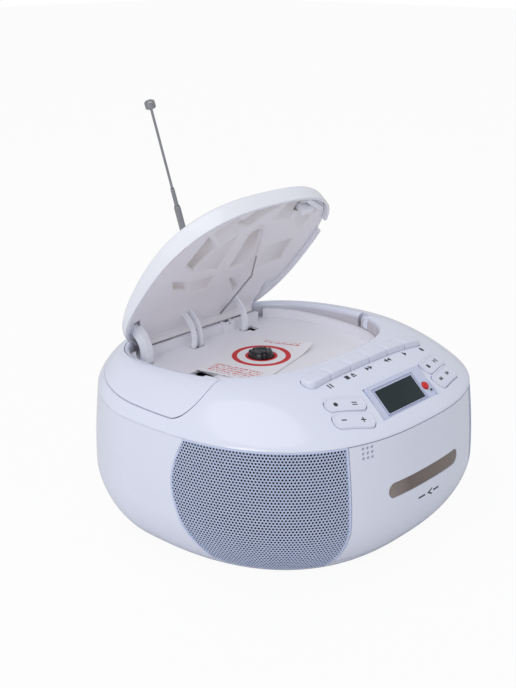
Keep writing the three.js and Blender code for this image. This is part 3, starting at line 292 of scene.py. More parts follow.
def mould_group():
    """Moulded plastic: faint mottling in colour and gloss, fine grain and softened edges."""
    group = bpy.data.node_groups.new("moulded_skin", "ShaderNodeTree")
    ports = group.interface
    for name, kind in (
        ("Colour", "Color"), ("Gloss", "Float"), ("Mottle", "Float"), ("Grain", "Float"),
        ("Grain Depth", "Float"), ("Soft Edge", "Float"),
    ):
        ports.new_socket(name, in_out="INPUT", socket_type="NodeSocket" + kind)
    for name, kind in (("Colour", "Color"), ("Roughness", "Float"), ("Normal", "Vector")):
        ports.new_socket(name, in_out="OUTPUT", socket_type="NodeSocket" + kind)
    given = group.nodes.new("NodeGroupInput").outputs
    result = group.nodes.new("NodeGroupOutput").inputs
    where = on_object(group)
    spread = reckon(group, "SUBTRACT", noise(group, where, 38, 3), 0.5)
    amount = reckon(group, "MULTIPLY", spread, given["Mottle"])
    tint = node(group, "VectorMath")
    tint.operation = "SCALE"
    fill(group, tint.inputs[0], given["Colour"])
    fill(group, tint.inputs["Scale"], reckon(group, "ADD", amount, 1))
    soft = node(group, "Bevel", Radius=given["Soft Edge"])
    soft.samples = 4
    bump = node(
        group, "Bump", Distance=0.0002, Strength=given["Grain Depth"],
        Height=noise(group, where, given["Grain"]), Normal=soft.outputs["Normal"],
    )
    fill(group, result["Colour"], tint.outputs[0])
    fill(group, result["Roughness"], reckon(group, "MULTIPLY_ADD", amount, 1.5, given["Gloss"]))
    fill(group, result["Normal"], bump.outputs["Normal"])
    return group


MOULDED = mould_group()


def plain_shader(name, gloss):
    finish = bpy.data.materials.new(name)
    finish.use_nodes = True
    shader = finish.node_tree.nodes["Principled BSDF"]
    shader.inputs["Roughness"].default_value = gloss
    return finish, finish.node_tree, shader


def moulded(name, colour, gloss, mottle=0.03, grain=900, depth=0.06, edge=0.0005, metal=0):
    finish, tree, shader = plain_shader(name, gloss)
    shader.inputs["Metallic"].default_value = metal
    mould = tree.nodes.new("ShaderNodeGroup")
    mould.node_tree = MOULDED
    values = (colour, gloss, mottle, grain, depth, edge)
    for socket, value in zip(mould.inputs, values):
        socket.default_value = value
    for output, socket in (("Colour", "Base Color"), ("Roughness",) * 2, ("Normal",) * 2):
        tree.links.new(mould.outputs[output], shader.inputs[socket])
    return finish


def glossy_white(name):
    """The cabinet's plastic, under a thin clear coat."""
    finish = moulded(name, GLOSS_WHITE, 0.16)
    coat = finish.node_tree.nodes["Principled BSDF"].inputs
    coat["Coat Weight"].default_value = 0.25
    coat["Coat Roughness"].default_value = 0.06
    return finish


white_gloss = glossy_white("white_gloss_plastic")


def hand_over(thing, name, finish, body, slot, *nodes, crease=32):
    """Names a finished solid, shades it, moves it into the part's frame and lets it ride."""
    thing = solid(thing)
    thing.name = name
    bm = bmesh.new()
    bm.from_mesh(thing.data)
    bmesh.ops.transform(bm, matrix=SPINDLE, verts=bm.verts)
    for face in bm.faces:
        face.smooth = True
    limit = math.radians(crease)
    for edge in bm.edges:
        edge.smooth = len(edge.link_faces) == 2 and edge.calc_face_angle(0) < limit
    bm.to_mesh(thing.data)
    bm.free()
    thing.data.name = name
    thing.data.materials.clear()
    thing.data.materials.append(finish)
    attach(thing, body)
    if nodes:
        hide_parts(*nodes)
    return thing


lower = skin(bowl_form, 0, 3)
for side in (-1, 1):
    lower = carve(lower, keep(skin(bowl_form, -4, 1.9), grille_region(side, 0.12)))
lower = carve(
    lower,
    slab(-65.8, 65.8, -FAR, -100, 14.6, FAR),
    slab(-37.5, 53.5, 20, FAR, 22.5, 65.5),
    slab(-71.4, -48.6, 83, FAR, 34.6, 53.4),
    slab(-69.3, -50.7, 66, FAR, 36.7, 51.3),
    rod("y", 6.3, 74, FAR, AERIAL_X, AERIAL_Z),
)
hand_over(lower, "lower_cabinet_shell", white_gloss, "cabinet", "white_gloss", "bottom_cabinet")

# Upper cabinet: the same glossy white, rising from the seam over a wide shoulder to a rounded
# rim round the disc well, whose wall drops to the tray. It is spun as one closed profile, then
# the handle's bed, the key slot, the rocker holes and the display's place are cut from it.
CREST_HEIGHT, RIM_REACH = 124.8, 90
CREST_MIDDLE, CREST_DEEP, CREST_WIDE, CREST_SQUARE = 5.5, 78, 88, 2.7


def crest_plan(reach, angle):
    across, along = squared(angle, CREST_SQUARE, CREST_SQUARE)
    return reach * across, CREST_MIDDLE + reach * along * CREST_DEEP / CREST_WIDE


def crest_height(y, power=1.1):
    share = max(0, y + 72.5) / 156
    return CREST_HEIGHT - 11 * share ** power


def top_plan(reach, angle, height):
    inward = min(1, (BODY_REACH - reach) / (BODY_REACH - RIM_REACH))
    rim = crest_plan(min(reach, RIM_REACH), angle)
    wide = cabinet_plan(BODY_REACH, angle)
    fall = (crest_height(rim[1]) - SEAM) / (CREST_HEIGHT - SEAM)
    rise = height - SEAM
    return (
        wide[0] + (rim[0] - wide[0]) * inward,
        wide[1] + (rim[1] - wide[1]) * inward,
        SEAM + (rise * fall if rise > 0 else rise),
    )


def ramp_over(tree, fac, stops):
    """A colour ramp from a list of (place, colour)."""
    ramp = node(tree, "ValToRGB", Fac=fac)
    while len(ramp.color_ramp.elements) < len(stops):
        ramp.color_ramp.elements.new(1)
    for element, (place, colour) in zip(ramp.color_ramp.elements, stops):
        element.position = place
        element.color = colour
    return ramp.outputs["Color"]


def tint_over(tree, fac, stops):
    """Takes a material's base colour from a ramp."""
    base = tree.nodes["Principled BSDF"].inputs["Base Color"]
    fill(tree, base, ramp_over(tree, fac, stops))


def tint_by_mark(finish, mark, stops):
    marked = node(finish.node_tree, "Attribute")
    marked.attribute_name = mark
    tint_over(finish.node_tree, marked.outputs["Fac"], stops)


def leave_mark(thing, mark, rule):
    """Gives each point of a mesh a value from 0 to 1, by a rule on its place."""
    values = thing.data.attributes.new(mark, "FLOAT", "POINT").data
    for vertex in thing.data.vertices:
        values[vertex.index].value = min(1, max(0, rule(vertex.co)))


RIM_ROUND = [(89.2, -0.05), (88.4, -0.3), (87.5, -0.9), (86.8, -1.8), (86.4, -3), (86.2, -5)]


def shoulder(depth, steps=26):
    reach, height = BODY_REACH - depth, CREST_HEIGHT - depth
    profile = []
    for i in range(steps + 1):
        share = (i / steps) ** 1.35
        rise = 1 - (1 - share) ** 1.8
        inward = share - 0.05 * share / (share + 0.05) * (1 - share) ** 3
        profile.append((reach + (RIM_REACH - reach) * inward, SEAM + (height - SEAM) * rise))
    return profile


def top_form(depth):
    """The upper cabinet as if solid, or what lies some depth inside it."""
    profile = shoulder(depth)
    if depth:
        profile.insert(0, (profile[0][0], SEAM - 4))
    floor = profile[0][1]
    return spun([(0, floor), *profile, (80, profile[-1][1]), (0, profile[-1][1])], top_plan)


def well_plug(reach, low, high):
    flat = lambda r, angle, height: (*crest_plan(r, angle), height)
    return spun([(0, low), (reach, low), (reach, high), (0, high)], flat)


NOSE_Y, NOSE_Z, NOSE_RADIUS = -32.6, 116, 10.9
HANDLE_DEPTH = 6.4


def handle_space(grow):
    """The room that the folded handle fills, round the back of the top."""
    nose = rod("x", NOSE_RADIUS + grow, -FAR, FAR, NOSE_Y, NOSE_Z, 96)
    rear = slab(-FAR, FAR, NOSE_Y, FAR, NOSE_Z - NOSE_RADIUS - grow, 140)
    end = 84 - grow
    return carve(
        join(nose, rear),
        slab(-end, end, -FAR, NOSE_Y, 0, FAR),
        rod("x", 15 - grow, -end, end, NOSE_Y, NOSE_Z, 96),
        well_plug(90.4 - grow, 0, FAR),
    )


def rounded_blank(half_x, half_y, low, high, radius):
    """An upright block whose four upright edges are rounded."""
    bm = slab(-half_x, half_x, -half_y, half_y, low, high)
    upright = [e for e in bm.edges if abs(e.verts[0].co.z - e.verts[1].co.z) > 0.01]
    rounded(bm, upright, radius * 0.999, 10)
    return bm


ROCKERS = {
    "rocker_function": (-45.2, -112.6, -26),
    "rocker_volume": (-49.8, -123.4, -28),
    "rocker_play": (50.6, -111.4, 15),
    "rocker_skip": (49, -123, 15),
}
DISPLAY = Matrix.Translation((0, -122.2, 109.6)) @ Matrix.Rotation(math.radians(42), 4, "X")


def placed(bm, matrix):
    bmesh.ops.transform(bm, matrix=matrix, verts=bm.verts)
    return bm


def rocker_place(name):
    x, y, turn = ROCKERS[name]
    return Matrix.Translation((x, y, 0)) @ Matrix.Rotation(math.radians(turn), 4, "Z")


def bezel_outline(grow):
    return [
        (-31 - grow, -11 - grow), (30 + grow, -11 - grow), (31 + grow, 13 + grow),
        (-24 - grow, 13 + grow),
    ]


rim = [(reach, CREST_HEIGHT + drop) for reach, drop in RIM_ROUND]
inner = [(88.2, 105), (88.2, 116)] + [p for p in reversed(shoulder(3)) if p[0] > 91]
upper = spun([*shoulder(0), *rim, (86.2, 105), *inner], top_plan)
upper = carve(upper, carve(handle_space(0.55), top_form(HANDLE_DEPTH)))
upper = join(upper, keep(skin(top_form, HANDLE_DEPTH, HANDLE_DEPTH + 3), handle_space(3.4)))
for side in (-1, 1):
    upper = carve(upper, rod("x", 11.3, *span(side, 83.6, FAR), NOSE_Y, NOSE_Z, 96))
KEY_X, KEY_Y, KEY_FRONT = 5.5, -87, -92.6
KEY_PITCH, KEY_GAP = 20, 0.4
BLANK_TOP = 140
key_place = Matrix.Translation((KEY_X, KEY_Y, 0))
upper = carve(
    upper,
    placed(rounded_blank(60.4, 6, 100, BLANK_TOP, 5.4), key_place),
    placed(plate(bezel_outline(0.5), "z", -6, 9), DISPLAY),
    rod("y", 6.3, 74, FAR, AERIAL_X, AERIAL_Z),
)
for name in ROCKERS:
    corner = 5.2 if ROCKERS[name][0] < 0 else 3.7
    hole = placed(rounded_blank(14.45, 5.55, 92, BLANK_TOP, corner), rocker_place(name))
    upper = carve(upper, hole)


def painted_well_shade(point):
    """How far a point of the rim's inner wall lies down in the well, from 0 to 1: how much painted
    shade it takes.
    """
    x, y, z = point
    wide, deep = abs(x), abs((y - CREST_MIDDLE) * CREST_WIDE / CREST_DEEP)
    reach = (wide ** CREST_SQUARE + deep ** CREST_SQUARE) ** (1 / CREST_SQUARE)
    return (crest_height(y) - 2 - z) / 3 if reach < 86.5 else 0


# Painted shade: the rim's inner wall is coloured darker and warmer the further it lies down in the
# well.
leave_mark(upper, "painted_well_shade", painted_well_shade)
upper_white_well_shaded = glossy_white("upper_cabinet_plastic")
tint_by_mark(upper_white_well_shaded, "painted_well_shade", [(0, GLOSS_WHITE), (1, (0.52, 0.49, 0.52, 1))])
hand_over(upper, "upper_cabinet_shell", upper_white_well_shaded, "cabinet", "white_gloss", "top_cabinet")

# Carrying handle: a flat hoop of the same plastic, flush with the shoulder when folded. It is
# cut from the shoulder's own form, so that it closes the line, and turns on two side bosses.
hoop = keep(skin(top_form, 0, 6), handle_space(0))
for side in (-1, 1):
    boss = rod("x", 7, *span(side, 84, 102), NOSE_Y, NOSE_Z)
    pin = rod("x", 4, *span(side, 81, 88), NOSE_Y, NOSE_Z)
    hoop = join(hoop, keep(boss, top_form(0)), pin)
hand_over(hoop, "folded_carrying_handle", white_gloss, "handle", "white_gloss", "carry_handle")

# Cassette keys: six caps in one slot, each a moulding with rounded edges. Their tops lie
# nearly level with the rim, so their front faces stand clear of the falling shoulder.
skin_form = top_form(0)
SKIN = BVHTree.FromBMesh(skin_form)
skin_form.free()
key_white = moulded("key_white_plastic", (0.77, 0.80, 0.93, 1), 0.22, edge=0.0003)


def skin_height(x, y):
    return SKIN.ray_cast(Vector((x, y, 300)), Vector((0, 0, -1)))[0].z


def sliced(bm, axis, places):
    """Adds a loop of edges across at each place."""
    for place in places:
        point, normal = [0, 0, 0], [0, 0, 0]
        point[axis], normal[axis] = place, 1
        bmesh.ops.bisect_plane(
            bm, geom=whole(bm), plane_co=point, plane_no=normal, dist=0.0001
        )


def cap_on_skin(bm, proud):
    """Moves a cap's upper part so that its flat top follows the skin, a little above it."""
    for corner in bm.verts:
        if corner.co.z > BLANK_TOP - 3:
            corner.co.z += skin_height(corner.co.x, corner.co.y) + proud - BLANK_TOP


KEY_NAMES = ("pause", "stop_eject", "fast_forward", "rewind", "play", "record")
for index, name in enumerate(KEY_NAMES):
    cap = placed(rounded_blank(60, 5.6, 110, BLANK_TOP, 5), key_place)
    left = KEY_X + (index - 3) * KEY_PITCH + KEY_GAP / 2
    for place, side in ((left, -1), (left + (KEY_PITCH - KEY_GAP), 1)):
        cut = bmesh.ops.bisect_plane(
            cap, geom=whole(cap), plane_co=(place, 0, 0), plane_no=(side, 0, 0),
            clear_outer=True, dist=0.0001,
        )
        rim_edges = [e for e in cut["geom_cut"] if isinstance(e, bmesh.types.BMEdge)]
        bmesh.ops.holes_fill(cap, edges=rim_edges, sides=0)
    bmesh.ops.remove_doubles(cap, verts=cap.verts, dist=0.001)
    ridge = [
        e for e in cap.edges
        if max(v.co.z for v in e.verts) > BLANK_TOP - 0.1 and e.calc_face_angle(0) > 0.8
    ]
    rounded(cap, ridge, 1.1)
    sliced(cap, 1, [-91, -89, -87, -85, -83])
    sliced(cap, 0, [left + 5, left + 10, left + 15])
    for corner in cap.verts:
        if corner.co.z > BLANK_TOP - 3:
            level = skin_height(corner.co.x, KEY_FRONT) + 4.6 + (corner.co.y - KEY_FRONT) * 0.05
            corner.co.z += level - BLANK_TOP
    key = f"key_{name}"
    hand_over(cap, f"key_cap_{name}", key_white, key, "white_gloss", key)

# Rocker buttons: four white pills in the shoulder, each moulded with a raised rim round a
# shallow dish. They rock on a rib under the shell and carry a small black sign at each end.
for name, (x, y, turn) in ROCKERS.items():
    pill = rounded_blank(14.1, 5.2, 95, BLANK_TOP, 4.9 if x < 0 else 3.4)
    tops = [f for f in pill.faces if f.calc_center_median().z > BLANK_TOP - 0.1]
    bmesh.ops.inset_region(pill, faces=tops, thickness=1, depth=0)
    bmesh.ops.inset_region(pill, faces=tops, thickness=0.35, depth=-0.45)
    sliced(pill, 0, [-10, -6, -2, 2, 6, 10])
    sliced(pill, 1, [-2.5, 0, 2.5])
    placed(pill, rocker_place(name))
    cap_on_skin(pill, 1.1)
    hand_over(pill, f"{name}_pill", key_white, name, "white_gloss", name)

# Printed signs: a thin black ink film on keys' sill, rockers and door. The real captions are
# left off; plain symbols of the usual kind stand where they were.
ink = moulded("black_print", (0.035, 0.037, 0.045, 1), 0.45, mottle=0.2, edge=0.0001)


def bar(x, y, half_x, half_y):
    return [(x - half_x, y - half_y), (x + half_x, y - half_y), (x + half_x, y + half_y),
            (x - half_x, y + half_y)]


def arrow(x, y, size, way=1):
    return [(x - way * size * 0.8, y - size), (x + way * size * 0.8, y),
            (x - way * size * 0.8, y + size)]


def spot(x, y, radius):
    return [(x + radius * math.cos(i * math.tau / 20), y + radius * math.sin(i * math.tau / 20))
            for i in range(20)]


def printed(outlines, place, drop):
    """Lays flat signs on a surface; drop gives the point under a place of the sign."""
    bm = bmesh.new()
    for outline in outlines:
        bm.faces.new([bm.verts.new((a, b, 0)) for a, b in outline])
    bmesh.ops.triangulate(bm, faces=bm.faces)
    bmesh.ops.subdivide_edges(bm, edges=bm.edges, cuts=1, use_grid_fill=True)
    for corner in bm.verts:
        corner.co = drop(place @ corner.co)
    bmesh.ops.recalc_face_normals(bm, faces=bm.faces)
    bmesh.ops.solidify(bm, geom=bm.faces[:], thickness=0.06)
    return bm


def on_shoulder(lift):
    return lambda p: Vector((p.x, p.y, skin_height(p.x, p.y) + lift))


SIGNS = {
    "pause": [bar(-0.9, 0, 0.4, 1.5), bar(0.9, 0, 0.4, 1.5)],
    "stop_eject": [bar(-2.2, 0, 1.3, 1.3), bar(2.4, -1.1, 1.5, 0.3),
                   [(0.9, -0.3), (3.9, -0.3), (2.4, 1.5)]],
    "fast_forward": [arrow(-1.3, 0, 1.5), arrow(1.3, 0, 1.5)],
    "rewind": [arrow(-1.3, 0, 1.5, -1), arrow(1.3, 0, 1.5, -1)],
    "play": [arrow(0, 0, 1.6)],
    "record": [spot(0, 0, 1.4)],
}
for index, name in enumerate(KEY_NAMES):
    middle = Matrix.Translation((KEY_X + 14 + (index - 3) * KEY_PITCH, -96.6, 0))
    sign = printed(SIGNS[name], middle @ Matrix.Scale(1.3, 4), on_shoulder(0.08))
    hand_over(sign, f"printed_sign_{name}", ink, "cabinet", "black_plastic")
ROCKER_SIGNS = {
    "rocker_function": [spot(-6.5, 0, 1.5), bar(6.5, 0.8, 1.8, 0.35),
                        bar(6.5, -0.8, 1.8, 0.35)],
    "rocker_volume": [bar(-6.5, 0, 1.7, 0.38), bar(6.5, 0, 1.7, 0.38),
                      bar(6.5, 1.05, 0.38, 0.66), bar(6.5, -1.05, 0.38, 0.66)],
    "rocker_play": [bar(-6.5, 0, 1.4, 1.4), arrow(5.2, 0, 1.5),
                    bar(7.6, 0, 0.35, 1.5), bar(8.8, 0, 0.35, 1.5)],
    "rocker_skip": [arrow(-7.4, 0, 1.4, -1), arrow(-5.2, 0, 1.4, -1),
                    arrow(5.2, 0, 1.4), arrow(7.4, 0, 1.4)],
}
for name, outlines in ROCKER_SIGNS.items():
    sign = printed(outlines, rocker_place(name), on_shoulder(0.7))
    hand_over(sign, f"{name}_print", ink, name, "black_plastic")

# Display: a satin bezel screwed on from inside, tilted with the front slope, round a dark
# liquid-crystal glass behind a window, with an oval red lamp beside it.
satin = moulded("bezel_plastic", (0.64, 0.69, 0.87, 1), 0.32, edge=0.0006)


def tilted(outline, low, high):
    return placed(plate(outline, "z", low, high), DISPLAY)


bezel = carve(
    tilted(bezel_outline(0), -5, 0.4),
    tilted(bar(0, 0, 20, 8.6), -9, 9),
    placed(rod("z", 3, -9, 9, 25.2, -2), DISPLAY),
)
groove = carve(
    tilted(bar(0, 0, 21.8, 10.3), -0.5, 4),
    tilted(bar(0, 0, 20.6, 9.2), -4, 6),
)
posts = [placed(rod("z", 1.8, -8.7, 0, x, 5), DISPLAY) for x in (-24, 24)]
bezel = join(carve(bezel, groove), *posts)
hand_over(bezel, "display_frame", satin, "cabinet", "white_satin", "display_bezel")


lcd, tree, shader = plain_shader("liquid_crystal_glass", 0.3)
shader.inputs["Specular IOR Level"].default_value = 0.25
tint_over(tree, noise(tree, on_object(tree), 30), [
    (0.3, (0.010, 0.022, 0.026, 1)), (0.7, (0.020, 0.036, 0.040, 1)),
])
glass = tilted(bar(0, 0, 19.9, 8.5), -3.7, -0.2)
hand_over(glass, "display_panel_glass", lcd, "cabinet", "display_glass", "display_glass")

red_lens, tree, shader = plain_shader("red_lamp_lens", 0.2)
ribs = node(tree, "TexWave", Scale=300, Vector=on_object(tree))
tint_over(tree, ribs.outputs["Fac"], [
    (0, (0.62, 0.012, 0.018, 1)), (1, (0.74, 0.03, 0.035, 1)),
])
bm = rod("z", 2.7, -4, 1.6, 25.2, -2)
tops = [e for e in bm.edges if min(v.co.z for v in e.verts) > 1.5]
rounded(bm, tops, 0.9)
lamp = placed(bm, DISPLAY)
hand_over(lamp, "record_lamp_lens", red_lens, "cabinet", "lamp_red", "record_lamp")
sensor = placed(rod("z", 0.9, 0.9, 1.12, 27.6, -6.3, steps=20), DISPLAY)
hand_over(sensor, "lamp_index_dot", ink, "cabinet", "black_plastic")

# Disc deck: a satin white tray dropped into the well, with the spring bar and hinge lugs
# moulded at its rear and openings for the hub, the latch, the lens and the lid's arms.
deck_white = moulded("deck_plastic", (0.90, 0.895, 0.96, 1), 0.38, grain=1400, depth=0.1)
DECK_FLOOR, DECK_UNDER = 104.5, 102.5
HINGE_Y, HINGE_Z = 68, 110.5
deck = carve(
    well_plug(85.9, DECK_UNDER, 111.4),
    well_plug(82.6, DECK_FLOOR, FAR),
    slab(-73, 73, 60, FAR, DECK_FLOOR, FAR),
)
parts = [
    slab(-58, 58, 57, 60, DECK_UNDER, 111.6),
    slab(18.5, 29.5, 54.5, 60, DECK_UNDER, 112.4),
]
for near, far in ((26.6, 29.6), (38.4, 41.4), (-29.6, -26.6), (-41.4, -38.4)):
    parts.append(slab(near, far, 65.8, 70.2, DECK_UNDER, HINGE_Z))
    parts.append(rod("x", 2.2, near, far, HINGE_Y, HINGE_Z))
deck = join(deck, *parts)
deck = carve(
    deck,
    rod("x", 1.5, -50, 50, HINGE_Y, HINGE_Z),
    slab(22.8, 25.2, 53, 64, 110, FAR),
    slab(20.5, 27.5, 56.4, 64, 110.4, FAR),
    rod("z", 14.7, 90, FAR, 0, 0, 96),
    slab(-59.5, -47, -3, 14, 90, FAR),
    slab(-45.5, -18, -8, 12.5, 90, FAR),
    slab(36.8, 44.5, 42.5, 52.5, 90, FAR),
    *[slab(left, right, 46.1, 52.84, 90, FAR)
      for left, right in ((-67, -61), (-22, -11), (31, 37))],
)
hand_over(deck, "disc_deck_tray", deck_white, "cabinet", "white_satin", "disc_deck")

# Turntable: the black hub that holds the disc, a turned boss on a flange with three sprung
# claws let into its wall. The brownish ends of the claws' springs at its sides are not drawn.
hub_black = moulded("hub_plastic", (0.012, 0.012, 0.014, 1), 0.3, mottle=0.2, edge=0.0002)


def turned(profile, steps=64):
    flat = lambda reach, angle, z: (reach * math.cos(angle), reach * math.sin(angle), z)
    return spun(profile, flat, steps)


hub = turned([
    (0, 102.8), (14, 102.8), (14, 104), (13.8, 104.2), (8.9, 104.2), (8.75, 104.6), (8.75, 106.6),
    (7.7, 109), (7, 109.6), (4.2, 109.6), (3.6, 109), (2.2, 109), (1.8, 109.4), (0, 109.4),
])
hub = join(hub, rod("z", 1.5, 93, 103, 0, 0))
for turn in range(3):
    spin = Matrix.Rotation(turn * math.tau / 3 + 0.5, 4, "Z")
    slot = placed(slab(-2.1, 2.1, 5.2, 12, 105.4, FAR), spin)
    claw = placed(slab(-1.5, 1.5, 4.9, 9.2, 105, 108.9, 0.6), spin)
    hub = join(carve(hub, slot), claw)
hand_over(hub, "turntable_hub", hub_black, "disc_table", "black_plastic", "turntable")

# Transport card: thin printed paper laid round the hub for shipping. Two red rings circle
# the hole and lines of red print, here only dashes, run beside it; its right corner lifts.
paper, tree, shader = plain_shader("printed_card", 0.6)
card_turn = math.radians(13.5)
middle = SPINDLE.translation
place = node(
    tree, "Mapping", Location=(middle.x, middle.y, 0), Rotation=(0, 0, card_turn),
    Vector=on_object(tree),
)
place.vector_type = "TEXTURE"
on_card = place.outputs["Vector"]
flat = node(tree, "VectorMath")
flat.operation = "MULTIPLY"
fill(tree, flat.inputs[0], on_card)
fill(tree, flat.inputs[1], (1, 1, 0))
away = node(tree, "VectorMath", Vector=flat.outputs["Vector"])
away.operation = "LENGTH"
axes = node(tree, "SeparateXYZ", Vector=flat.outputs["Vector"])


def within(output, low, high):
    """1 between two places in metres, along an axis or away from the spindle."""
    source = away if output == "Value" else axes
    return reckon(tree, "COMPARE", source.outputs[output], (low + high) / 2, (high - low) / 2)


def block(left, right, front, back):
    return reckon(tree, "MULTIPLY", within("X", left, right), within("Y", front, back))


ROW = 0.0034
rings = reckon(tree, "MAXIMUM", within("Value", 0.0175, 0.0213), within("Value", 0, 0.0117))
letters = noise(tree, on_card, 800)
rows = reckon(tree, "FRACT", reckon(tree, "MULTIPLY", axes.outputs["X"], 1 / ROW))
blocks = reckon(
    tree, "MAXIMUM", block(-0.0432, -0.0289, -0.018, 0.020), block(0.0259, 0.0312, -0.016, 0.014)
)
lines = reckon(tree, "MULTIPLY", blocks, reckon(tree, "LESS_THAN", rows, 0.5))
print_lines = reckon(tree, "MULTIPLY", lines, reckon(tree, "GREATER_THAN", letters, 0.5))
red_print = reckon(tree, "MAXIMUM", rings, print_lines)
paper_tint = ramp_over(tree, noise(tree, on_card, 900, 4), [
    (0.3, (0.89, 0.88, 0.93, 1)), (0.7, (0.93, 0.92, 0.95, 1)),
])
mix = node(tree, "Mix")
mix.data_type = "RGBA"
for socket, value in (("Factor", red_print), ("A", paper_tint), ("B", (0.66, 0.022, 0.022, 1))):
    fill(tree, mix.inputs[socket], value)
fill(tree, shader.inputs["Base Color"], mix.outputs["Result"])
bm = bmesh.new()
bmesh.ops.create_grid(bm, x_segments=48, y_segments=36, size=0.5)
bmesh.ops.scale(bm, vec=(79, 52, 1), verts=bm.verts)
bmesh.ops.translate(bm, vec=(-6.5, 1, DECK_FLOOR + 0.35), verts=bm.verts)
for corner in bm.verts:
    toward = max(0, (corner.co.x - 13) / 20) * max(0, (8 - corner.co.y) / 33)
    corner.co.z += 4.2 * min(1, toward) ** 1.5
grown = bmesh.ops.extrude_face_region(bm, geom=bm.faces[:])
bmesh.ops.translate(bm, vec=(0, 0, 0.4), verts=corners_of(grown))
bmesh.ops.recalc_face_normals(bm, faces=bm.faces)
card = carve(bm, rod("z", 9.6, 90, FAR, 0, 0, 64))
card.data.transform(Matrix.Rotation(card_turn, 4, "Z"))
hand_over(card, "shipping_card", paper, "cabinet", "card_paper", "transport_card")

# Disc lid: a shallow glossy shell, drawn here as it lies shut and then swung open on its
# hinge. Four curved arms reach round the hinge line through the deck, and a catch hangs at
# the tip. Its rear corners are trimmed where they swing past the rim.
LID_BASE, LID_OPEN = 113, math.radians(-51)
LID_REACH, LID_RISE = 84.6, 19
OPEN = (
    Matrix.Translation((0, HINGE_Y, HINGE_Z)) @ Matrix.Rotation(LID_OPEN, 4, "X")
    @ Matrix.Translation((0, -HINGE_Y, -HINGE_Z))
)
LID_SIDE = [(1, 0), (1, 0.42), (0.996, 0.54), (0.984, 0.64), (0.962, 0.705), (0.93, 0.752),
            (0.89, 0.788), (0.82, 0.836), (0.73, 0.885), (0.6, 0.93), (0.45, 0.965),
            (0.25, 0.99), (0, 1)]


def lid_form(depth, low=None):
    reach = LID_REACH - depth
    floor = low or (LID_BASE - 4 if depth else LID_BASE)
    profile = [[reach * out, LID_BASE + LID_RISE * up] for out, up in LID_SIDE]
    profile[0][1] = floor
    least = LID_BASE - 1.1 if depth else LID_BASE

    def lid_plan(r, angle, height):
        x, y = crest_plan(r, angle)
        if height <= LID_BASE:
            return x, y, height
        fall = (crest_height(y, 2.2) - LID_BASE) / (CREST_HEIGHT - LID_BASE)
        return x, y, max(LID_BASE + (height - LID_BASE) * fall - depth, least)

    return spun([(0, floor), *profile], lid_plan)


def lid_arm(left, right, inner=17.5):
    outline = [(46.5, 117.6), (46.5, HINGE_Z)]
    angles = [math.pi + math.radians(74) * i / 16 for i in range(17)]
    outline += [(HINGE_Y + 21.5 * math.cos(a), HINGE_Z + 21.5 * math.sin(a)) for a in angles[1:]]
    outline += [
        (HINGE_Y + inner * math.cos(a), HINGE_Z + inner * math.sin(a)) for a in reversed(angles)
    ]
    return plate(outline + [(HINGE_Y - inner, 117.6)], "x", left, right)


shell = carve(
    skin(lid_form, 0, 2.2),
    slab(-FAR, FAR, 76.5, FAR, 0, FAR),
    placed(slab(-7, 7, -6.5, 6.5, 100, 117), Matrix.Translation((81.5, -25, 0))),
)
arms = [lid_arm(*ends) for ends in ((-20.6, -18.6), (-14.4, -12.4), (32.6, 35.6))]
arms.append(lid_arm(-66.5, -61.5, 13))
for left, right in ((30, 38), (-38, -30)):
    arms.append(rod("x", 2.6, left, right, HINGE_Y, HINGE_Z))
    arms.append(slab(left, right, 65.8, 70.2, HINGE_Z, 115.2))
arms.append(slab(35.5, 45, -55.5, -50, 110.5, 122, 0.6))
catch_rib = [(37, -64), (63, -49), (61, -46), (35, -61)]
arms.append(plate(catch_rib, "z", 113.6, 120))
shell = carve(join(shell, *arms), rod("x", 1.5, -FAR, FAR, HINGE_Y, HINGE_Z))
shell.data.transform(OPEN)
guard = carve(
    slab(-FAR, FAR, 40, FAR, 0, CREST_HEIGHT - 10), well_plug(85.9, 0, FAR)
)
shell = carve(shell, guard)
lid_white = moulded("lid_plastic", (0.90, 0.915, 0.985, 1), 0.18)
hand_over(shell, "open_lid_shell", lid_white, "lid", "white_gloss", "disc_lid")

# Lid lining: the satin inner moulding, whose underside is pressed into shallow slanted fields
# round the disc clamp's long oval. A grid is sunk to each field's own depth at each corner,
# with soft walls, and what lies under it is cut away.
LINING = 116.6
FIELDS = [
    [(-26, -50, 3.6), (-8, -66, 3.4), (20, -68, 2.6), (0, -50, 1.2), (-9, -42, 1.6)],
    [(-53, -14, 3.6), (-48, -45, 3.4), (-30, -27, 1.2), (-40, -4, 3.2)],
    [(-57, 1, 2.6), (-40, 6, 1.2), (-32, 20, 2.2), (-48, 15, 3.6)],
    [(9, 19, 2.6), (16, 20, 2.6), (31, 35, 2.2), (28, 41, 1.0)],
    [(11, -44, 0.6), (20, -67, 3), (38, -62, 2.6), (37, -38, 0.8)],
    [(39, -37, 0.5), (41, -61, 2.2), (63, -46, 2.0), (61, -18, 0.6)],
    [(28, -12, 0.6), (60, -14, 2.0), (64, 14, 2.2), (36, 18, 0.6)],
    [(-28, -27, 0.5), (-46, -47, 1.8), (-28, -60, 1.4), (-12, -43, 0.5)],
    [(-41, -3, 0.5), (-30, -26, 0.5), (-13, -40, 1.4), (-10, 4, 1.6)],
    [(-38, 8, 0.3), (-9, 9, 1.8), (-7, 25, 1.8), (-24, 26, 0.4)],
    [(-3, -34, 3.2), (4, -39, 3), (10, -34, 2.4), (23, -3, 0.4), (17, 7, 0.5), (1, 6, 3)],
]


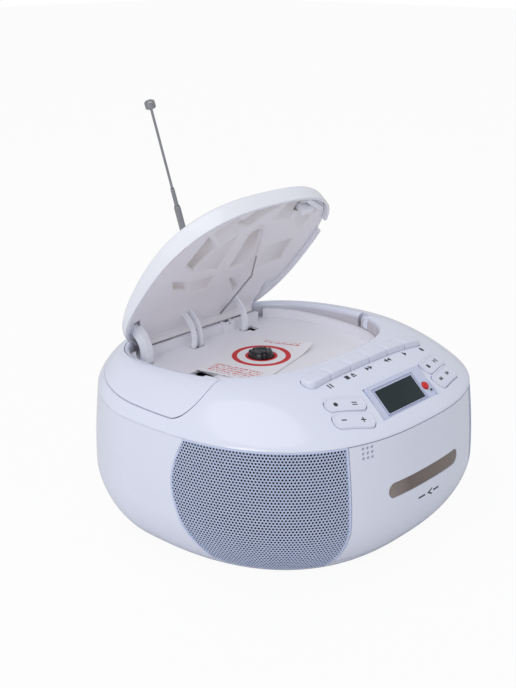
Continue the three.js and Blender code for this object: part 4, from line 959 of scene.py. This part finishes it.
def field_depth(x, y, corners, soft=2.2):
    """How deep a field is at a place: its corners' depths, blended, fading at its edges."""
    edge = min(
        ((bx - ax) * (y - ay) - (by - ay) * (x - ax)) / math.hypot(bx - ax, by - ay)
        for (ax, ay, _), (bx, by, _) in zip(corners, corners[1:] + corners[:1])
    )
    share = min(1, max(0, edge / soft))
    if share == 0:
        return 0
    pulls = [(1 / (math.hypot(x - cx, y - cy) + 2) ** 2, deep) for cx, cy, deep in corners]
    deep = sum(pull * deep for pull, deep in pulls) / sum(pull for pull, _ in pulls)
    return deep * share * share * (3 - 2 * share)


def turned_left(corners):
    """The same corners, listed anticlockwise."""
    ring = corners[1:] + corners[:1]
    twice_area = sum(a[0] * b[1] - b[0] * a[1] for a, b in zip(corners, ring))
    return corners if twice_area > 0 else corners[::-1]


fields = [turned_left(corners) for corners in FIELDS]
bm = bmesh.new()
bmesh.ops.create_grid(bm, x_segments=150, y_segments=104, size=0.5)
bmesh.ops.scale(bm, vec=(180, 125, 1), verts=bm.verts)
bmesh.ops.translate(bm, vec=(0, 42 - 62.5, LINING), verts=bm.verts)
grown = bmesh.ops.extrude_face_region(bm, geom=bm.faces[:])
under = set(corners_of(grown))
for corner in bm.verts:
    if corner in under:
        corner.co.z = 100
    else:
        x, y = corner.co.x, corner.co.y
        corner.co.z += max(field_depth(x, y, corners) for corners in fields)
bmesh.ops.recalc_face_normals(bm, faces=bm.faces)
lining = keep(lid_form(2.5), slab(-FAR, FAR, -FAR, 41.9, LINING - 3, 122))
lining = carve(lining, bm)
clamp_lip = [(-5, -34), (-3, -39), (2, -42), (7, -40.5), (11, -36), (18, -20), (24, -4),
             (23.2, -3.2), (17, -18.6), (10, -34.4), (6.2, -38.8), (2, -40.3), (-2.2, -37.9),
             (-4, -34)]
lining = join(lining, plate(clamp_lip, "z", LINING - 1, 119))
lining = carve(lining, slab(33.6, 46.4, -55.9, -48.1, 0, FAR))
skirt = plate([
    (38, 119), (38, LINING), (46, 115.4), (53, 113.9), (58, 112.9), (61.5, 111.6), (63.3, 109.6),
    (63.6, 107), (65, 107), (64.9, 110), (63, 113.4), (59, 116), (52, 117.6), (44, 119),
], "x", -66, 66)
lining = join(lining, keep(skirt, lid_form(4.8, 100)))
# Painted shade: the lining's colour darkens and warms with the depth of each pocket.
leave_mark(lining, "painted_pocket_shade", lambda p: (p.z - LINING) / 3.4 if p.y < 42 else 0)
lining.data.transform(OPEN)
lining_white = moulded("lining_plastic", (0.90, 0.885, 0.93, 1), 0.42, mottle=0.06, edge=0.0008)
tint_by_mark(lining_white, "painted_pocket_shade", [
    (0, (0.93, 0.91, 0.95, 1)), (0.3, (0.87, 0.845, 0.87, 1)), (1, (0.62, 0.575, 0.55, 1)),
])
hand_over(lining, "lid_lining", lining_white, "lid", "white_satin", "disc_lid_panel", crease=20)

# Lid spring wire: one thin steel wire, bent twice, hooked into the spring box of the deck's
# bar at its foot and into the lining at its tip.
steel = moulded(
    "bright_steel", (0.42, 0.42, 0.43, 1), 0.28, mottle=0.3, grain=2500, edge=0.0001, metal=1
)
bm = bmesh.new()
bmesh.ops.create_circle(bm, segments=14, radius=0.6)
circle = bm.verts[:]
edges = bm.edges[:]
bends = [Vector(point) for point in ((24, 64, 112), (24, 12, 109.6), (24, -4, 116))]
stations = [(bends[0], bends[1] - bends[0]), (bends[1], bends[2] - bends[0]),
            (bends[2], bends[2] - bends[1])]


def aim(place, along, axis="Z"):
    """A place, with an axis turned to point along a direction."""
    return Matrix.Translation(place) @ along.to_track_quat(axis, "Y").to_matrix().to_4x4()


bmesh.ops.transform(bm, matrix=aim(*stations[0]), verts=circle)
for here, there in zip(stations, stations[1:]):
    grown = bmesh.ops.extrude_edge_only(bm, edges=edges)
    circle = corners_of(grown)
    edges = [e for e in grown["geom"] if isinstance(e, bmesh.types.BMEdge)]
    edges = [e for e in edges if all(v in circle for v in e.verts)]
    bmesh.ops.transform(bm, matrix=aim(*there) @ aim(*here).inverted(), verts=circle)
bmesh.ops.holes_fill(bm, edges=bm.edges, sides=0)
bmesh.ops.recalc_face_normals(bm, faces=bm.faces)
hand_over(placed(bm, OPEN), "lid_spring_wire", steel, "lid", "steel", "lid_wire")

# Cassette door: a curved white panel that follows the bowl, hinged at its foot, with a long
# slot for the tape window, nine grip dots in a corner and two ears that turn on pins.
door_white = moulded("door_plastic", (0.79, 0.82, 0.94, 1), 0.2, edge=0.0006)


def slot_outline(grow):
    reach, end = 5.3 + grow, 38 - 5.3
    outline = []
    for i in range(32):
        angle = -math.pi / 2 + math.tau * i / 32
        side = end if i <= 16 else -end
        outline.append((side + reach * math.cos(angle), 60.6 + reach * math.sin(angle)))
    return outline


DOOR_PIN = (-128.8, 15)
door = keep(skin(bowl_form, 0, 2.6), slab(-65.3, 65.3, -FAR, 0, 15, 96.9))
door = carve(door, plate(slot_outline(0), "y", -FAR, 0))
dots = []
for row in range(3):
    for column in range(3):
        x, z = -53 + (column - 1) * 3.2, 91.3 + (row - 1) * 3.2
        dots.append(rod("y", 0.95, -FAR, -100, x, z, steps=16))
door = carve(door, carve(join(*dots), bowl_form(1.8)))


def behind_face(left, right, back, low, high):
    return keep(slab(left, right, -FAR, back, low, high), bowl_form(1.3))


for side in (-1, 1):
    rail = behind_face(*span(side, 51, 54), -124, 28, 82)
    tongue = behind_face(*span(side, 28, 33.6), -127, 15, 22)
    ear = rod("x", 2.6, *span(side, 28, 33.6), *DOOR_PIN)
    pin = rod("x", 1.5, *span(side, 32.1, 37.2), *DOOR_PIN)
    door = join(door, rail, tongue, ear, pin)
door = join(door, behind_face(-54, 54, -124, 28, 29.5))
hand_over(door, "cassette_door_panel", door_white, "tape_door", "white_gloss", "cassette_door")
front_form = bowl_form(0)
FRONT = BVHTree.FromBMesh(front_form)
front_form.free()


def on_front(lift):
    def drop(p):
        hit = FRONT.ray_cast(Vector((p.x, -FAR, p.y)), Vector((0, 1, 0)))
        return hit[0] + hit[1] * lift
    return drop


door_sign = [[(0.5, 0), (6, 2.6), (6, 1.5), (3, 0), (6, -1.5), (6, -2.6)],
             bar(10.5, 0, 3, 0.6), bar(-5.5, 0, 3.6, 0.6)]
sign = printed(door_sign, Matrix.Translation((0, 46.5, 0)), on_front(0.08))
hand_over(sign, "printed_door_arrow", ink, "tape_door", "black_plastic")

# Tape window: a long smoky brown lens set in the door's slot, welded from behind. Its colour
# is painted paler towards its left end: painted light for what comes through the empty holder.
smoke, tree, shader = plain_shader("smoky_window", 0.1)
where = on_object(tree)
axes = node(tree, "SeparateXYZ", Vector=where)
along = node(tree, "MapRange", Value=axes.outputs["X"], From_Min=-0.038, From_Max=0.038)
shade = reckon(tree, "MULTIPLY_ADD", noise(tree, where, 45), 0.35, along.outputs["Result"])
# Painted light: the lens's colour runs paler towards its left end.
tint_over(tree, shade, [
    (0.1, (0.34, 0.29, 0.26, 1)), (0.4, (0.155, 0.115, 0.105, 1)), (1, (0.185, 0.145, 0.12, 1)),
])
lens = keep(skin(bowl_form, 0.6, 2), plate(slot_outline(-0.3), "y", -FAR, 0))
hand_over(lens, "tape_window_lens", smoke, "tape_door", "window_tint", "cassette_window")

# Speaker grilles: pressed steel skins, painted silver, pierced all over with close rows of
# round holes inside a plain border, with dark cloth stretched behind them.
PITCH = 2.2
turns = [-math.pi / 2 + i * math.pi / 480 for i in range(481)]
wall_line = [Vector(cabinet_plan(bowl_reach(60), turn)) for turn in turns]
wall_run = [0]
for here, there in zip(wall_line, wall_line[1:]):
    wall_run.append(wall_run[-1] + (there - here).length)


def turn_at(run):
    high = min(max(1, bisect_right(wall_run, run)), len(wall_run) - 1)
    low = high - 1
    share = (run - wall_run[low]) / (wall_run[high] - wall_run[low])
    return turns[low] + (turns[high] - turns[low]) * share


def pierced_sheet():
    """A flat sheet of round holes in staggered rows, on arc length and height."""
    bm = bmesh.new()
    cell = PITCH / math.sqrt(3)
    bmesh.ops.create_circle(bm, cap_ends=True, segments=6, radius=cell)
    bmesh.ops.rotate(bm, matrix=Matrix.Rotation(math.pi / 6, 3, "Z"), verts=bm.verts)
    bmesh.ops.subdivide_edges(bm, edges=bm.edges, cuts=1)
    bmesh.ops.inset_individual(bm, faces=bm.faces[:], thickness=0.4)
    hole = [f for f in bm.faces if f.calc_center_median().length < 0.01]
    bmesh.ops.delete(bm, geom=hole, context="FACES")
    row = math.sqrt(3) * PITCH
    steps = [(PITCH / 2, row / 2)]
    steps += [(PITCH * 2 ** doubling, 0) for doubling in range(6)]
    steps += [(0, row * 2 ** doubling) for doubling in range(5)]
    for across, up in steps:
        twin = corners_of(bmesh.ops.duplicate(bm, geom=whole(bm)))
        bmesh.ops.translate(bm, vec=(across, up, 0), verts=twin)
    bmesh.ops.translate(bm, vec=(58, 4, 0), verts=bm.verts)
    spare = [
        v for v in bm.verts
        if v.co.x > 194 or v.co.x < 62 or v.co.y > SEAM + 2 or v.co.y < 6
    ]
    bmesh.ops.delete(bm, geom=spare, context="VERTS")
    bmesh.ops.remove_doubles(bm, verts=bm.verts, dist=0.01)
    return bm


def grille_sheet():
    bm = pierced_sheet()
    for corner in bm.verts:
        height = corner.co.y
        turn = turn_at(corner.co.x)
        x, y = cabinet_plan(bowl_reach(height) - 0.1, turn)
        corner.co = (x, y, height)
    bm.normal_update()
    inward = [f for f in bm.faces if f.normal.dot(f.calc_center_median() * Vector((1, 1, 0))) < 0]
    bmesh.ops.reverse_faces(bm, faces=inward)
    bmesh.ops.solidify(bm, geom=bm.faces[:], thickness=0.7)
    bmesh.ops.recalc_face_normals(bm, faces=bm.faces)
    return bm


SILVER = (0.62, 0.70, 0.93, 1)
silver = moulded("grille_paint", SILVER, 0.34, mottle=0.08, edge=0.0001)
# Painted shade: the grille paint turns nearly black on the hole walls and the sheet's back, away
# from its front face.
tint_by_mark(silver, "painted_hole_shade", [
    (0, SILVER), (0.25, SILVER), (0.6, (0.02, 0.022, 0.03, 1)),
])
cloth = moulded("speaker_cloth", (0.008, 0.009, 0.014, 1), 0.9, mottle=0.4, grain=1800, depth=0.5)
for side, name in ((-1, "left"), (1, "right")):
    sheet = keep(grille_sheet(), grille_region(1, -0.6))
    border = keep(skin(bowl_form, 0, 1.3), grille_region(1, 0))
    border = carve(border, grille_region(1, -0.9))
    back = keep(skin(bowl_form, 1.35, 1.8), grille_region(1, -0.4))
    # How far each point of the sheet lies behind the front face; this sets its painted shade.
    leave_mark(sheet, "painted_hole_shade", lambda p: (FRONT.find_nearest(p)[3] - 0.15) / 0.5)
    for piece in (sheet, border, back):
        if side < 0:
            piece.data.transform(Matrix.Scale(-1, 4, (1, 0, 0)))
            piece.data.flip_normals()
    hand_over(back, f"speaker_cloth_{name}", cloth, "cabinet", "black_plastic")
    hand_over(border, f"grille_border_{name}", silver, "cabinet", "grille_silver")
    given = f"speaker_grille_{name}"
    hand_over(sheet, f"pierced_grille_{name}", silver, "cabinet", "grille_silver", given)

# Rear and underside: battery door with finger ribs, mains inlet, aerial boss and rubber
# feet. They are already the real shapes, so they only get their own materials.
black = moulded("black_fitting_plastic", (0.03, 0.031, 0.035, 1), 0.4, mottle=0.15, edge=0.0003)
rubber = moulded("foot_rubber", (0.025, 0.025, 0.026, 1), 0.75, mottle=0.2, depth=0.3)
iron = moulded(
    "motor_can_steel", (0.30, 0.31, 0.33, 1), 0.45, mottle=0.3, grain=600, depth=0.3, metal=0.9
)
pcb = moulded("board_laminate", (0.02, 0.12, 0.05, 1), 0.5, mottle=0.6, grain=300, depth=0.3)
cone_black = moulded("cone_paper", (0.02, 0.02, 0.022, 1), 0.85, mottle=0.3, depth=0.4)
for finish, names in (
    (satin, "battery_door"),
    (black, "mains_inlet aerial_mount disc_plate pickup_sled reel_hub_left reel_hub_right"),
    (iron, "speaker_frame_left speaker_frame_right tape_motor disc_motor power_transformer"),
    (cone_black, "speaker_cone_left speaker_cone_right"),
    (steel, "motor_pulley capstan_flywheel tape_plate tape_head pickup_rail_front"),
    (steel, "pickup_rail_rear lid_pin_left lid_pin_right"),
    (pcb, "control_board main_board"),
    (rubber, "drive_belt foot_front_left foot_front_right foot_rear_left foot_rear_right"),
):
    for name in names.split():
        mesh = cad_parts[name].data
        mesh.materials.clear()
        mesh.materials.append(finish)

# Telescopic aerial: three chromed brass tubes, each crimped at its top round the next, on a
# forked swivel, with a turned button on the thin rod's end. It leans to the left.
chrome = moulded("aerial_chrome", (0.36, 0.365, 0.375, 1), 0.2, mottle=0.35, grain=2000, metal=1)
LEAN = (
    Matrix.Translation((AERIAL_X, AERIAL_Y, AERIAL_Z))
    @ Matrix.Rotation(math.radians(-16.8), 4, "Y")
)
stem = turned([
    (0, 6), (2.5, 6), (2.6, 6.2), (2.6, 102.2), (2.5, 102.8), (2.2, 103.6), (2.05, 104.5),
    (1.95, 104.5), (1.95, 12), (0, 12),
], 32)
stem = join(
    stem, rod("x", 2.8, -1.6, 1.6, 0, 0), slab(-1.6, 1.6, -2.2, 2.2, 0, 6.5),
    rod("x", 1, -4.2, 4.2, 0, 0),
)
middle_stem = solid(turned([
    (0, 26), (1.65, 26), (1.65, 117.6), (1.6, 118.3), (1.45, 119.1), (1.4, 119.5), (1.3, 119.5),
    (1.3, 26.4), (0, 26.4),
], 32))
thin_stem = solid(turned([
    (0, 110), (1, 110), (1, 185), (3.2, 185), (3.8, 185.3), (4, 186), (4, 189.4), (3.7, 190.3),
    (2.8, 190.9), (1.6, 191), (0, 191),
], 32))
swivel = rod("y", 5.5, -4.1, -3.1, 0, 0)
for near, far in ((-4.2, -1.9), (1.9, 4.2)):
    cheek = slab(near, far, -4.1, 3.5, -4, 4)
    swivel = join(swivel, keep(cheek, rod("x", 4.6, -9, 9, -0.4, 0)))
swivel = carve(swivel, rod("x", 1.3, -9, 9, 0, 0))
for thing, name, body, given in (
    (stem, "aerial_outer_stem", "aerial_outer", "aerial_tube_outer"),
    (middle_stem, "aerial_middle_stem", "aerial_middle", "aerial_tube_middle"),
    (thin_stem, "aerial_thin_stem", "aerial_inner", "aerial_rod"),
    (swivel, "aerial_fork", "aerial_base", "aerial_swivel"),
):
    thing.data.transform(LEAN)
    hand_over(thing, name, chrome, body, "steel", given)

# Studio: a pale floor and a plain sky of soft light, a broad lamp above and a smaller one at
# the left front, and the camera at the photograph's viewing angle.
bm = bmesh.new()
bmesh.ops.create_grid(bm, x_segments=8, y_segments=8, size=6)
mesh = bpy.data.meshes.new("studio_floor")
bm.to_mesh(mesh)
bm.free()
floor = bpy.data.objects.new("studio_floor", mesh)
bpy.context.scene.collection.objects.link(floor)
floor_paint, tree, shader = plain_shader("studio_paper", 0.9)
paper_grain = node(tree, "TexNoise", Scale=2)
tint_over(tree, paper_grain.outputs["Fac"], [
    (0.3, (0.80, 0.80, 0.81, 1)), (0.7, (0.82, 0.82, 0.83, 1)),
])


def show_blend(tree, share, first, second, output):
    """Sends a share of the second shader and the rest of the first to a tree's output."""
    blend = node(tree, "MixShader", Fac=share)
    fill(tree, blend.inputs[1], first)
    fill(tree, blend.inputs[2], second)
    fill(tree, tree.nodes[output].inputs["Surface"], blend.outputs["Shader"])


def seen_by_camera(tree):
    return node(tree, "LightPath").outputs["Is Camera Ray"]


white = node(tree, "Emission", Color=(1, 1, 1, 1)).outputs["Emission"]
seen = reckon(tree, "MULTIPLY", seen_by_camera(tree), 0.94)
show_blend(tree, seen, shader.outputs["BSDF"], white, "Material Output")
mesh.materials.append(floor_paint)

world = bpy.data.worlds.new("soft_sky")
world.use_nodes = True
bpy.context.scene.world = world
tree = world.node_tree
soft = node(tree, "Background", Color=(0.96, 0.97, 1, 1), Strength=0.62).outputs["Background"]
white = node(tree, "Background", Color=(1, 1, 1, 1)).outputs["Background"]
show_blend(tree, seen_by_camera(tree), soft, white, "World Output")


def soft_lamp(name, place, aim_at, size, power):
    lamp_data = bpy.data.lights.new(name, "AREA")
    lamp_data.shape = "DISK"
    lamp_data.size = size
    lamp_data.energy = power
    lamp_thing = bpy.data.objects.new(name, lamp_data)
    bpy.context.scene.collection.objects.link(lamp_thing)
    lamp_thing.matrix_world = aim(place, Vector(aim_at) - Vector(place), "-Z")


soft_lamp("overhead_softbox", (-0.3, 0.1, 1.6), (0, 0, 0.1), 1.2, 4)
soft_lamp("left_softbox", (-1.4, -0.4, 0.8), (0, 0, 0.1), 0.7, 5)

camera_data = bpy.data.cameras.new("camera")
camera_data.lens = 57.56
camera_data.sensor_width = 36
camera_data.clip_start = 0.01
camera = bpy.data.objects.new("camera", camera_data)
bpy.context.scene.collection.objects.link(camera)
stand = Vector((-0.5439, -0.4881, 0.3819))
toward = Vector((-0.00356, 0.014074, 0.11497)) - stand
camera.matrix_world = aim(stand, toward, "-Z") @ Matrix.Rotation(math.radians(-0.06), 4, "Z")
bpy.context.scene.camera = camera
bpy.context.scene.view_settings.view_transform = "Standard"
